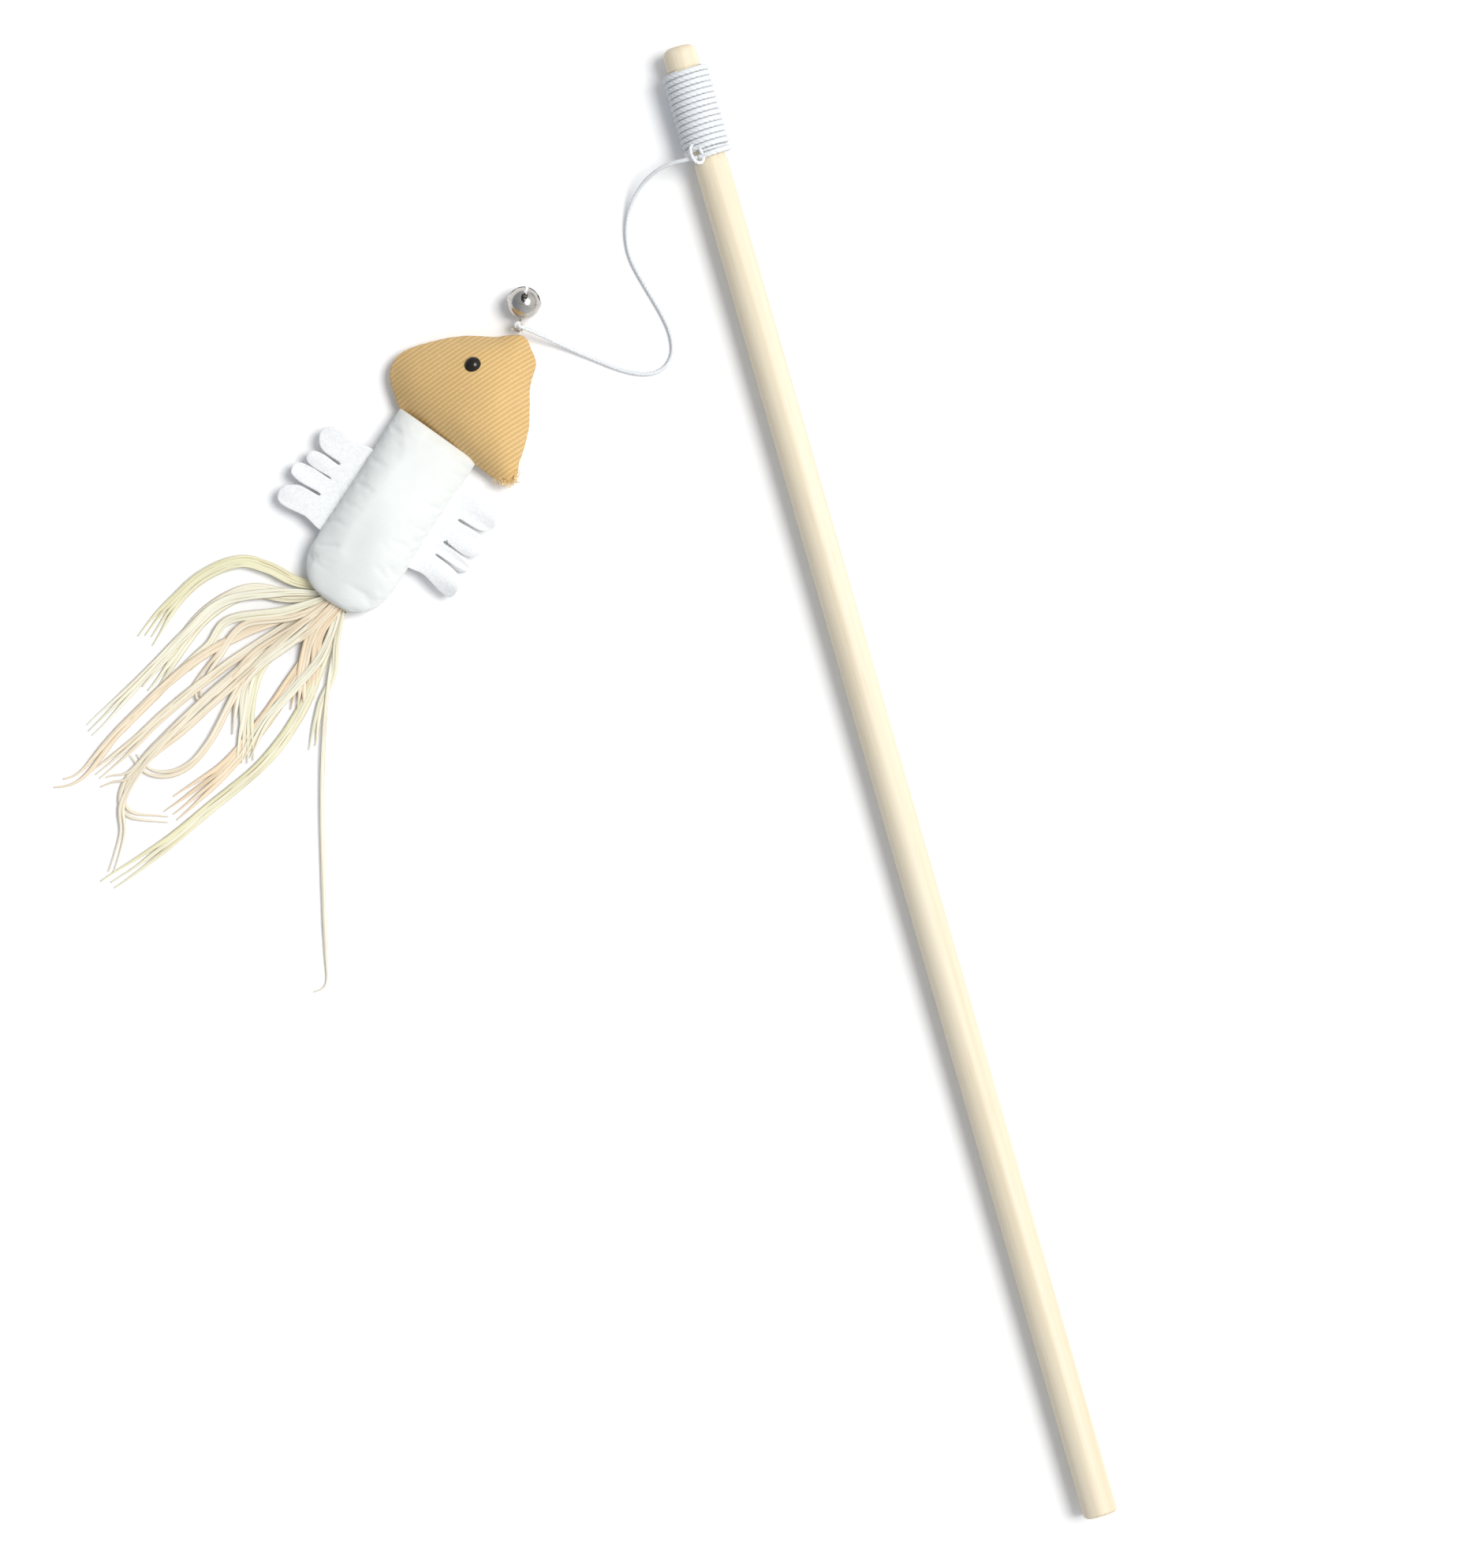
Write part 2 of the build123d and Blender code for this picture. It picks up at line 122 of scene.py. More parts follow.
class Kit:
    """Adds nodes to one tree, of a material or of Geometry Nodes."""

    def __init__(self, tree):
        self.tree = tree

    def add(self, kind, settings=None, sockets=None, out=0):
        """One node: its settings first, then the values or links of its sockets. Returns one output."""
        node = self.tree.nodes.new(kind)
        for name, value in (settings or {}).items():
            if name == "stops":
                ramp = node.color_ramp.elements
                while len(ramp) < len(value):
                    ramp.new(0.5)
                for stop, (place, color) in zip(ramp, value):
                    stop.position = place
                    stop.color = (*color, 1.0)
            else:
                setattr(node, name, value)
        for key, value in (sockets or {}).items():
            if isinstance(value, Link):
                self.tree.links.new(value.socket, node.inputs[key])
            else:
                node.inputs[key].default_value = value
        return Link(self, node.outputs[out]) if len(node.outputs) else None

    def geometry(self, kind, sockets=None, settings=None, out=0):
        """One node of Geometry Nodes, by the last part of its name."""
        return self.add("GeometryNode" + kind, settings, sockets, out)

    def other(self, link, name):
        """Another output of the node that a link comes from."""
        return Link(self, link.socket.node.outputs[name])

    def maths(self, operation, *values):
        return self.add("ShaderNodeMath", {"operation": operation}, dict(enumerate(values)))

    def sine(self, value):
        return self.maths("SINE", value)

    def wave(self, value):
        """A sine wave between 0 and 1."""
        return self.sine(value) * 0.5 + 0.5

    def vectors(self, operation, sockets, out=0):
        """Arithmetic on vectors."""
        return self.add("ShaderNodeVectorMath", {"operation": operation}, sockets, out)

    def clamp(self, value):
        return self.add("ShaderNodeClamp", None, {0: value})

    def step(self, value, low, high):
        """0 below low, 1 above high and smooth between."""
        settings = {"interpolation_type": "SMOOTHSTEP"}
        return self.add("ShaderNodeMapRange", settings, {0: value, 1: low, 2: high})

    def combine(self, x, y, z):
        return self.add("ShaderNodeCombineXYZ", None, {0: x, 1: y, 2: z})

    def split(self, vector):
        """The three numbers of a vector."""
        node = self.tree.nodes.new("ShaderNodeSeparateXYZ")
        self.tree.links.new(vector.socket, node.inputs[0])
        return [Link(self, output) for output in node.outputs]

    def mix(self, factor, first, second):
        """Two colours, mixed."""
        return self.add("ShaderNodeMix", {"data_type": "RGBA"}, {0: factor, 6: first, 7: second}, 2)

    def noise(self, vector, scale, detail=3.0, roughness=0.5):
        sockets = {"Vector": vector, "Scale": scale, "Detail": detail, "Roughness": roughness}
        return self.add("ShaderNodeTexNoise", None, sockets)


def rgb(red, green, blue):
    """A shader colour from the 0 to 255 values of a screen."""
    shade = [v / 255 for v in (red, green, blue)]
    return tuple(v / 12.92 if v <= 0.04045 else ((v + 0.055) / 1.055) ** 2.4 for v in shade)


def paint(red, green, blue):
    """The same colour, opaque."""
    return (*rgb(red, green, blue), 1.0)


def new_finish(name):
    material = bpy.data.materials.new(name)
    material.use_nodes = True
    material.node_tree.nodes.clear()
    kit = Kit(material.node_tree)
    kit.material = material
    return kit


def coat(kit, sockets, bump=None, strength=0.5, distance=0.0002):
    """The surface of a finish: a Principled shader, with a bump from one height. Returns the material."""
    if bump is not None:
        relief = {"Strength": strength, "Distance": distance, "Height": bump}
        sockets["Normal"] = kit.add("ShaderNodeBump", None, relief)
    shader = kit.add("ShaderNodeBsdfPrincipled", None, sockets)
    kit.add("ShaderNodeOutputMaterial", None, {0: shader})
    return kit.material


def place(kit, scale=(1.0, 1.0, 1.0), turn=0.0):
    """Object coordinates, turned about Z and scaled."""
    coords = kit.add("ShaderNodeTexCoord", None, None, 3)
    return kit.add("ShaderNodeMapping", None, {0: coords, 2: (0.0, 0.0, turn), 3: scale})


def pale_wood():
    """Straight-grained pale dowel wood: long streaks, fine pores, and growth rings on the two end faces."""
    kit = new_finish("pale_wood")
    streaks = kit.noise(place(kit, (330, 7, 330)), 1.0, 4.0, 0.55)
    bands = kit.noise(place(kit, (140, 2.2, 140)), 1.0, 2.0)
    pores = kit.noise(place(kit, (2600, 60, 2600)), 1.0, 2.0)
    x, y, z = kit.split(place(kit, (1000, 1000, 1000)))
    heart_x = STICK_X + 7.0
    heart_z = STICK_Z - 10.0
    ring_width = 0.9
    from_heart = kit.vectors("LENGTH", {0: kit.combine(x - heart_x, z - heart_z, 0.0)}, 1)
    rings = kit.wave(from_heart * (FULL_TURN / ring_width) + 3.0 * bands)
    end_face = kit.step(kit.maths("ABSOLUTE", y), 199.2, 199.7)
    dark = (0.25, rgb(214, 199, 168))
    middle = (0.5, rgb(231, 219, 194))
    pale = (0.75, rgb(239, 231, 212))
    grain = 0.65 * streaks + 0.35 * bands
    tone = kit.add("ShaderNodeValToRGB", {"stops": [dark, middle, pale]}, {0: grain})
    pore_mask = kit.step(pores, 0.62, 0.72)
    color = kit.mix(pore_mask * 0.22, tone, paint(196, 170, 130))
    color = kit.mix(end_face * rings * 0.45, color, paint(193, 163, 117))
    height = streaks * 0.4 - pore_mask
    return coat(kit, {"Base Color": color, "Roughness": 0.46 + 0.16 * streaks}, height, 0.15, 0.0001)


def white_cord():
    """Soft twisted white cord: matt, with fine fibres and painted shade in the hollows."""
    kit = new_finish("white_cord")
    fibres = kit.noise(place(kit, (5200, 5200, 5200)), 1.0, 3.0)
    # Painted shade: the cord turns greyer where the fibre bump is low, in the hollows.
    tone = kit.mix(kit.step(fibres, 0.35, 0.65), paint(214, 218, 222), paint(246, 248, 250))
    return coat(kit, {"Base Color": tone, "Roughness": 0.9, "Sheen Weight": 0.15}, fibres, 0.4, 0.0001)


def tan_twill():
    """Tan twill: slanting ribs of yarn on the panel's own flat coordinates, with dots where yarns dip, and
    painted shade in the grooves and dips.
    """
    kit = new_finish("tan_twill")
    flat = kit.add("ShaderNodeUVMap", {"uv_map": "panel"})
    along, side, _ = kit.split(flat)
    slant = math.radians(21.6)
    rib_pitch = 1.1
    yarn_pitch = 0.95
    drift_pitch = 2.3
    wobble = kit.noise(place(kit), 260.0, 2.0) - 0.5
    across = along * math.sin(slant) + side * math.cos(slant) + wobble * 0.25
    down = along * math.cos(slant) - side * math.sin(slant)
    rib = kit.wave(across * (FULL_TURN / rib_pitch))
    yarn = kit.wave(down * (FULL_TURN / yarn_pitch) + across * (FULL_TURN / drift_pitch))
    height = rib * (0.65 + 0.35 * yarn)
    patch = kit.noise(place(kit), 90.0, 3.0)
    # Painted shade: the darker tones go to the grooves between the ribs and where the yarns dip, the lighter
    # tones to the raised yarn.
    shaded_groove = kit.mix(patch, paint(196, 159, 101), paint(207, 171, 111))
    high = kit.mix(patch, paint(215, 180, 121), paint(225, 191, 132))
    fleck = kit.step(kit.noise(place(kit), 1700.0, 2.0), 0.60, 0.72)
    color = kit.mix(kit.step(height, 0.1, 0.7), shaded_groove, high)
    color = kit.mix(fleck * 0.3, color, paint(246, 220, 168))
    return coat(kit, {"Base Color": color, "Roughness": 0.86, "Sheen Weight": 0.1}, height, 0.4, 0.0002)


def loose_yarn():
    """Single yarns pulled from the twill, paler than the cloth."""
    kit = new_finish("loose_yarn")
    patch = kit.noise(place(kit), 900.0, 2.0)
    color = kit.mix(kit.step(patch, 0.35, 0.65), paint(214, 174, 106), paint(250, 232, 190))
    return coat(kit, {"Base Color": color, "Roughness": 0.8, "Sheen Weight": 0.2})


def white_canvas():
    """White canvas: a fine plain weave with faint cloudy patches, a little greyer."""
    kit = new_finish("white_canvas")
    along, side, _ = kit.split(place(kit, (1000, 1000, 1000), -LURE_HEADING))
    weave_pitch = 0.55
    turn = FULL_TURN / weave_pitch
    weave = kit.sine(along * turn) * kit.sine(side * turn) * 0.5 + 0.5
    cloud = kit.noise(place(kit), 60.0, 3.0)
    tone = kit.mix(kit.step(cloud, 0.35, 0.7), paint(226, 229, 227), paint(234, 237, 235))
    tone = kit.mix(weave * 0.12, tone, paint(208, 210, 208))
    return coat(kit, {"Base Color": tone, "Roughness": 0.9, "Sheen Weight": 0.1}, weave, 0.3, 0.0001)


def white_felt():
    """White felt: matted short fibres with no weave."""
    kit = new_finish("white_felt")
    mat = kit.noise(place(kit, (1400, 1400, 1400)), 1.0, 5.0, 0.65)
    clumps = kit.noise(place(kit), 320.0, 2.0)
    tone = kit.mix(kit.step(mat, 0.25, 0.75), paint(228, 230, 232), paint(242, 243, 243))
    return coat(kit, {"Base Color": tone, "Roughness": 0.97, "Sheen Weight": 0.3}, mat + clumps, 0.45, 0.0002)


def dry_raffia():
    """Dry raffia: fine brown lines down each fibre, painted shade in brown along its edges, each strand with
    its own tone.
    """
    kit = new_finish("dry_raffia")
    names = ("strand_tone", "strand_run", "strand_side")
    tone, run, side = [kit.add("ShaderNodeAttribute", {"attribute_name": name}, None, 2) for name in names]
    lines = kit.noise(kit.combine(side * 2.6, run * 45.0, tone * 60.0), 1.0, 3.0, 0.65)
    peach = (0.0, rgb(238, 217, 187))
    straw = (0.3, rgb(237, 227, 205))
    cream = (0.6, rgb(238, 236, 218))
    green = (1.0, rgb(231, 228, 188))
    base = kit.add("ShaderNodeValToRGB", {"stops": [peach, straw, cream, green]}, {0: tone})
    # Painted shade: each ribbon turns browner towards its edges; the fine lines mixed in with it are the
    # fibres' own colour.
    rim = kit.step(kit.maths("ABSOLUTE", side), 0.7, 1.0)
    fibre_lines_and_edge_shade = kit.clamp(kit.step(lines, 0.5, 0.68) * 0.5 + rim * 0.4)
    color = kit.mix(fibre_lines_and_edge_shade, base, paint(196, 164, 116))
    return coat(kit, {"Base Color": color, "Roughness": 0.5 + 0.2 * lines}, lines, 0.5, 0.0002)


def bell_plate():
    """Nickel-plated bell: bright, with faint handling marks."""
    kit = new_finish("bell_plate")
    marks = kit.noise(place(kit), 700.0, 4.0, 0.6)
    color = kit.mix(marks, paint(178, 174, 168), paint(222, 219, 214))
    metal = {"Base Color": color, "Metallic": 1.0, "Roughness": 0.14 + 0.16 * marks}
    return coat(kit, metal, marks, 0.08, 0.0001)


def black_bead():
    """Black glossy bead."""
    kit = new_finish("black_bead")
    haze = kit.noise(place(kit), 900.0, 2.0)
    color = kit.mix(haze, paint(18, 15, 10), paint(38, 32, 22))
    return coat(kit, {"Base Color": color, "Roughness": 0.16 + 0.1 * haze, "Specular IOR Level": 0.35})


def sewing_thread():
    """Off-white thread."""
    kit = new_finish("sewing_thread")
    lay = kit.noise(place(kit, (4200, 4200, 4200)), 1.0, 2.0)
    color = kit.mix(lay, paint(205, 196, 180), paint(238, 232, 220))
    return coat(kit, {"Base Color": color, "Roughness": 0.8}, lay, 0.4, 0.0001)


def pale_floor():
    """Plain pale studio floor."""
    kit = new_finish("pale_floor")
    cloud = kit.noise(place(kit), 6.0, 2.0)
    color = kit.mix(cloud, paint(248, 248, 249), paint(251, 251, 252))
    return coat(kit, {"Base Color": color, "Roughness": 0.9})


WOOD = pale_wood()
CORD = white_cord()
TWILL = tan_twill()
LOOSE_YARN = loose_yarn()
CANVAS = white_canvas()
FELT = white_felt()
RAFFIA = dry_raffia()
PLATE = bell_plate()
BEAD = black_bead()
THREAD = sewing_thread()


def linked(name, data):
    """A new object in the scene that shows the given data."""
    piece = bpy.data.objects.new(name, data)
    bpy.context.collection.objects.link(piece)
    return piece


# Camera, light and floor. The picture's right and up are directions on the floor as the camera sees it.
CAMERA_PLACE = (0.0654, 0.0103, 1.606)
CAMERA_TURN = math.radians(-16.09)
CAMERA_REACH = 1.6
PICTURE_WIDTH = 0.4107
SENSOR_WIDTH = 36.0
PICTURE_RIGHT = Vector((0.96085, -0.27715, 0.0))
PICTURE_UP = Vector((0.27715, 0.96085, 0.0))
KEY_RIGHT = 0.48
KEY_UP = 0.13
KEY_HEIGHT = 0.95
KEY_STRENGTH = 2.25
KEY_ANGLE = math.radians(26.0)
KEY_COLOR = (1.0, 0.985, 0.96)
AIR_DARK_SIDE = (0.24, 0.26, 0.29, 1.0)
AIR_LIGHT_SIDE = (0.88, 0.89, 0.9, 1.0)
AIR_ABOVE = (0.36, 0.38, 0.41, 1.0)
FLOOR_REACH = 3.0
FLOOR_HEIGHT = -0.0001


def place_camera():
    """A camera straight above the object."""
    data = bpy.data.cameras.new("camera")
    data.sensor_width = SENSOR_WIDTH
    data.lens = SENSOR_WIDTH * CAMERA_REACH / PICTURE_WIDTH
    data.clip_start = 0.01
    data.clip_end = 50.0
    camera = linked("camera", data)
    camera.location = CAMERA_PLACE
    camera.rotation_euler = (0.0, 0.0, CAMERA_TURN)
    bpy.context.scene.camera = camera
    bpy.context.scene.view_settings.view_transform = "Standard"


def light_key():
    """A soft key light from the upper right of the picture."""
    data = bpy.data.lights.new("key", "SUN")
    data.energy = KEY_STRENGTH
    data.angle = KEY_ANGLE
    data.color = KEY_COLOR
    sun = linked("key", data)
    toward = PICTURE_RIGHT * KEY_RIGHT + PICTURE_UP * KEY_UP + Vector((0.0, 0.0, KEY_HEIGHT))
    sun.rotation_euler = toward.to_track_quat("Z", "Y").to_euler()


def fill_air():
    """Light from all round, brighter on the key light's side."""
    world = bpy.data.worlds.new("studio_air")
    world.use_nodes = True
    kit = Kit(world.node_tree)
    world.node_tree.nodes.clear()
    direction = kit.add("ShaderNodeTexCoord", None, None, 0)
    _, _, up = kit.split(direction)
    to_key = kit.vectors("DOT_PRODUCT", {0: direction, 1: PICTURE_RIGHT}, 1)
    color = kit.mix(kit.clamp(to_key * 0.5 + 0.5), AIR_DARK_SIDE, AIR_LIGHT_SIDE)
    color = kit.mix(kit.clamp(up) * 0.3, color, AIR_ABOVE)
    air = kit.add("ShaderNodeBackground", None, {0: color, 1: 1.0})
    kit.add("ShaderNodeOutputWorld", None, {0: air})
    bpy.context.scene.world = world


def lay_floor():
    """The floor that the object lies on."""
    reach = FLOOR_REACH
    corners = [(-reach, -reach, 0), (reach, -reach, 0), (reach, reach, 0), (-reach, reach, 0)]
    mesh = bpy.data.meshes.new("floor")
    mesh.from_pydata(corners, [], [(0, 1, 2, 3)])
    mesh.materials.append(pale_floor())
    floor = linked("floor", mesh)
    floor.location.z = FLOOR_HEIGHT


place_camera()
light_key()
fill_air()
lay_floor()


# Geometry Nodes: what the trees share
def new_tree(name, inputs):
    """A Geometry Nodes tree with an input for each named size. Returns its kit, its incoming geometry and
    its inputs."""
    tree = bpy.data.node_groups.new(name, "GeometryNodeTree")
    tree.interface.new_socket("Geometry", in_out="INPUT", socket_type="NodeSocketGeometry")
    kinds = {float: "NodeSocketFloat", int: "NodeSocketInt"}
    for title, value in inputs.items():
        tree.interface.new_socket(title, in_out="INPUT", socket_type=kinds[type(value)])
    tree.interface.new_socket("Geometry", in_out="OUTPUT", socket_type="NodeSocketGeometry")
    kit = Kit(tree)
    entry = tree.nodes.new("NodeGroupInput")
    links = [Link(kit, output) for output in entry.outputs]
    return kit, links[0], dict(zip(inputs, links[1:]))


def close_tree(kit, shape, material):
    """Ends a tree in real geometry with its material set."""
    real = kit.geometry("RealizeInstances", {0: shape})
    done = kit.geometry("SetMaterial", {0: real, "Material": material})
    kit.add("NodeGroupOutput", None, {0: done})


def evaluated_mesh(host):
    """The final shape of a host object as a plain mesh. The host goes."""
    bpy.context.view_layer.update()
    graph = bpy.context.evaluated_depsgraph_get()
    mesh = bpy.data.meshes.new_from_object(host.evaluated_get(graph))
    bpy.data.objects.remove(host)
    return mesh


def grow(name, kit, inputs, data):
    """Runs a tree on a curve or mesh and keeps the result as one plain mesh piece."""
    host = linked(name + "_host", data)
    modifier = host.modifiers.new("nodes", "NODES")
    modifier.node_group = kit.tree
    for item in kit.tree.interface.items_tree:
        if item.in_out == "INPUT" and item.name in inputs:
            modifier[item.identifier] = inputs[item.name]
    mesh = evaluated_mesh(host)
    mesh.name = name
    return linked(name, mesh)


def blank_line(kit, count):
    """A line with a number of points, to be wound into a coil."""
    line = kit.geometry("CurvePrimitiveLine")
    return kit.geometry("ResampleCurve", {0: line, "Count": count}, {"mode": "COUNT"})


def cord_skin(kit, curve, size):
    """A twisted skin on a curve: a section with one lobe for each ply, which turns with the length."""
    plies = 3
    lobe_mean = 0.93
    lobe_depth = 0.09
    path = kit.geometry("ResampleCurve", {0: curve, "Length": size["Step"]}, {"mode": "LENGTH"})
    length = kit.geometry("SplineParameter", out=1)
    path = kit.geometry("SetCurveTilt", {0: path, "Tilt": length * size["Lay"]})
    ring = kit.geometry("CurvePrimitiveCircle", {"Resolution": 12, "Radius": size["Radius"]})
    angle = kit.geometry("SplineParameter", out=0) * (plies * FULL_TURN)
    lobe = lobe_mean + lobe_depth * kit.maths("COSINE", angle)
    moved = kit.vectors("SCALE", {0: kit.geometry("InputPosition"), "Scale": lobe})
    ring = kit.geometry("SetPosition", {0: ring, "Position": moved})
    tube = kit.geometry("CurveToMesh", {0: path, 1: ring, "Fill Caps": True})
    return kit.geometry("SetShadeSmooth", {0: tube})


def line_curve(name, points, order=3, steps=16, closed=False):
    """A NURBS line with the given control points, in metres, and no thickness."""
    curve = bpy.data.curves.new(name, "CURVE")
    curve.dimensions = "3D"
    curve.resolution_u = steps
    spline = curve.splines.new("NURBS")
    spline.points.add(len(points) - 1)
    for point, spot in zip(spline.points, points):
        point.co = (*spot, 1.0)
    spline.order_u = order
    spline.use_cyclic_u = closed
    spline.use_endpoint_u = not closed
    return curve


def curve_points(curve):
    """Points along a curve's own line."""
    mesh = evaluated_mesh(linked("route", curve))
    points = [vertex.co.copy() for vertex in mesh.vertices]
    bpy.data.meshes.remove(mesh)
    return points


def finish_piece(piece, body, slot_name, *nodes):
    """Hands a piece to its body and hides the nodes it stands for. The slot name is not used."""
    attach(piece, body)
    if nodes:
        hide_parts(*nodes)


# Cord: the string, its knots and the winding on the tip
CORD_RADIUS = 0.58
CORD_SIZES = {"Radius": CORD_RADIUS * MM, "Lay": 1900.0, "Step": 0.28 * MM}
STRING_DROP = (6.2, 5.0, 3.8, 2.6, 1.3)
END_KNOT_HEIGHT = 1.25


def cord_tree():
    """Twisted cord along a line."""
    kit, shape, size = new_tree("twisted_cord", CORD_SIZES)
    close_tree(kit, cord_skin(kit, shape, size), CORD)
    return kit


CORD_TREE = cord_tree()


def cord_piece(name, line, radius):
    """A piece of cord along a line."""
    return grow(name, CORD_TREE, dict(CORD_SIZES, Radius=radius * MM), line)


def knot_curve(name, center, size, tall, turn):
    """A closed overhand knot line about a center, in metres."""
    count = 24
    lean = math.radians(70)
    frame_turn = Matrix.Rotation(turn, 3, "Z") @ Matrix.Rotation(lean, 3, "X")
    spots = []
    for number in range(count):
        t = FULL_TURN * number / count
        spot = Vector((
            math.sin(t) + 2 * math.sin(2 * t),
            math.cos(t) - 2 * math.cos(2 * t),
            -tall * math.sin(3 * t),
        ))
        spots.append(Vector(center) + frame_turn @ spot * size)
    return line_curve(name, spots, order=4, steps=12, closed=True)


def hitch_curve():
    """The half hitch that holds the string on the stick: it comes from the winding, over the string with
    room for it to swing, and back under it. Its points are along the stick, away from it and round it,
    from the string's start."""
    angle = math.atan2(HITCH[2] - STICK_Z, HITCH[0] - STICK_X)
    out = Vector((math.cos(angle), 0.0, math.sin(angle)))
    round_it = Vector((-math.sin(angle), 0.0, math.cos(angle)))
    route = [
        (3.6, -0.7, 0.9),
        (2.9, 0.7, 0.9),
        (1.6, 1.5, 0.7),
        (0.2, 1.65, 0.5),
        (-1.1, 1.2, 0.1),
        (-1.7, 0.1, -0.5),
        (-1.2, -0.8, -1.1),
        (0.0, -1.0, -1.3),
        (1.2, -0.7, -1.3),
        (2.2, -0.5, -1.1),
    ]
    spots = []
    for along, away, around in route:
        spots.append((Vector(HITCH) + Vector((0.0, along, 0.0)) + away * out + around * round_it) * MM)
    return line_curve("hitch_loop", spots)


def make_string():
    """The free string from the hitch on the stick to the lure's tie, with its hitch and its two knots."""
    route = line_curve("string_route", [Vector(point) * MM for point in STRING_ROUTE])
    path = curve_points(route)
    string = cord_piece("string", route, CORD_RADIUS)
    hitch = cord_piece("hitch_loop", hitch_curve(), radius=0.5)
    tie_place = Vector(TIE_KNOT) * MM
    tie_line = knot_curve("tie_knot", tie_place, size=0.36 * MM, tall=1.3, turn=math.radians(-40))
    tie = cord_piece("tie_knot", tie_line, radius=0.45)
    drop = [Vector((TIE.x, TIE.y, height)) * MM for height in STRING_DROP]
    tail = cord_piece("string_end", line_curve("string_end", drop), radius=0.5)
    end_place = (TIE.x * MM, TIE.y * MM, END_KNOT_HEIGHT * MM)
    end_line = knot_curve("end_knot", end_place, size=0.17 * MM, tall=1.3, turn=0.3)
    end = cord_piece("end_knot", end_line, radius=0.3)
    finish_piece(string, "string", "cord", "lure_string")
    finish_piece(hitch, "wand", "cord")
    for piece in (tie, tail, end):
        finish_piece(piece, "string", "cord")


make_string()


WINDING_SIZES = {
    "Turns": 13.5,
    "Pitch": 1.512 * MM,
    "Last Pitch": 2.6 * MM,
    "Start": 193.25 * MM,
    "End Angle": math.radians(118.0),
    "Coil Radius": 5.53 * MM,
    "Radius": 0.8 * MM,
    "Lay": 1500.0,
    "Step": 0.36 * MM,
}
INNER_PITCH = 0.98 * MM
INNER_CHANGES = {
    "Turns": 21.0,
    "Pitch": INNER_PITCH,
    "Last Pitch": INNER_PITCH,
    "Coil Radius": 4.74 * MM,
    "Radius": 0.5 * MM,
    "Step": 0.5 * MM,
}


def winding_tree():
    """A cord wound on the stick in even turns, then one wider turn."""
    kit, _, size = new_tree("tip_winding", WINDING_SIZES)
    whole = size["Turns"] + 1.0
    line = blank_line(kit, count=1400)
    turns = kit.geometry("SplineParameter", out=0) * whole
    even = kit.maths("MINIMUM", turns, size["Turns"])
    angle = (turns - whole) * FULL_TURN + size["End Angle"]
    y = size["Start"] - even * size["Pitch"] - (turns - even) * size["Last Pitch"]
    x = kit.maths("COSINE", angle) * size["Coil Radius"] + STICK_X * MM
    z = kit.sine(angle) * size["Coil Radius"] + STICK_Z * MM
    coil = kit.geometry("SetPosition", {0: line, "Position": kit.combine(x, y, z)})
    close_tree(kit, cord_skin(kit, coil, size), CORD)
    return kit


def make_winding():
    """The cord winding near the tip: flat inner turns on the seat and the fuller turns that show."""
    tree = winding_tree()
    turns = grow("winding_turns", tree, WINDING_SIZES, bpy.data.meshes.new("winding_turns"))
    finish_piece(turns, "wand", "cord", "tip_winding")
    inner_sizes = {**WINDING_SIZES, **INNER_CHANGES}
    layer = grow("winding_inner", tree, inner_sizes, bpy.data.meshes.new("winding_inner"))
    finish_piece(layer, "wand", "cord", "winding_core")


make_winding()


# Soft pieces of the lure
def smooth_loop(points, spacing):
    """Evenly spaced points on a closed smooth line through the given ones."""
    count = len(points)
    parts = 16
    dense = []
    for number in range(count):
        corners = [Vector(points[(number + shift) % count]) for shift in (-1, 0, 1, 2)]
        before, start, end, after = corners
        for part in range(parts):
            t = part / parts
            bend = 2 * before - 5 * start + 4 * end - after
            twist = 3 * start - before - 3 * end + after
            dense.append(0.5 * (2 * start + (end - before) * t + bend * t ** 2 + twist * t ** 3))
    dense.append(dense[0])
    whole = sum((b - a).length for a, b in zip(dense, dense[1:]))
    steps = round(whole / spacing)
    loop = []
    travelled = 0.0
    for a, b in zip(dense, dense[1:]):
        reach = (b - a).length
        while len(loop) < steps and len(loop) * whole / steps <= travelled + reach:
            loop.append(a.lerp(b, (len(loop) * whole / steps - travelled) / reach))
        travelled += reach
    return loop


def edge_distance(spot, loop):
    """Distance from a flat point to a closed line of points."""
    best = 1e9
    for a, b in zip(loop, loop[1:] + loop[:1]):
        _, share = geometry.intersect_point_line(spot, a, b)
        near = a.lerp(b, min(max(share, 0.0), 1.0))
        best = min(best, (spot - near).length)
    return best


def inside(spot, loop):
    """Whether a flat point lies inside a closed line."""
    crossings = 0
    for a, b in zip(loop, loop[1:] + loop[:1]):
        if (a.y > spot.y) != (b.y > spot.y):
            if spot.x < a.x + (spot.y - a.y) * (b.x - a.x) / (b.y - a.y):
                crossings += 1
    return crossings % 2 == 1


def fill_loop(loop, spacing):
    """Flat triangles inside a closed line. Returns the points, how many are on the line, and the faces."""
    low = Vector((min(p.x for p in loop), min(p.y for p in loop)))
    high = Vector((max(p.x for p in loop), max(p.y for p in loop)))
    rim = len(loop)
    points = list(loop)
    edge_room = 0.55 * spacing
    row_height = spacing * math.sqrt(0.75)
    for row in range(int((high.y - low.y) / row_height) + 1):
        shift = spacing / 2 * (row % 2)
        for column in range(int((high.x - low.x) / spacing) + 1):
            spot = Vector((low.x + shift + column * spacing, low.y + row * row_height))
            if inside(spot, loop) and edge_distance(spot, loop) > edge_room:
                points.append(spot)
    edges = [(n, (n + 1) % rim) for n in range(rim)]
    flat, _, faces, _, _, _ = geometry.delaunay_2d_cdt(points, edges, [list(range(rim))], 1, 1e-6)
    return flat, rim, faces


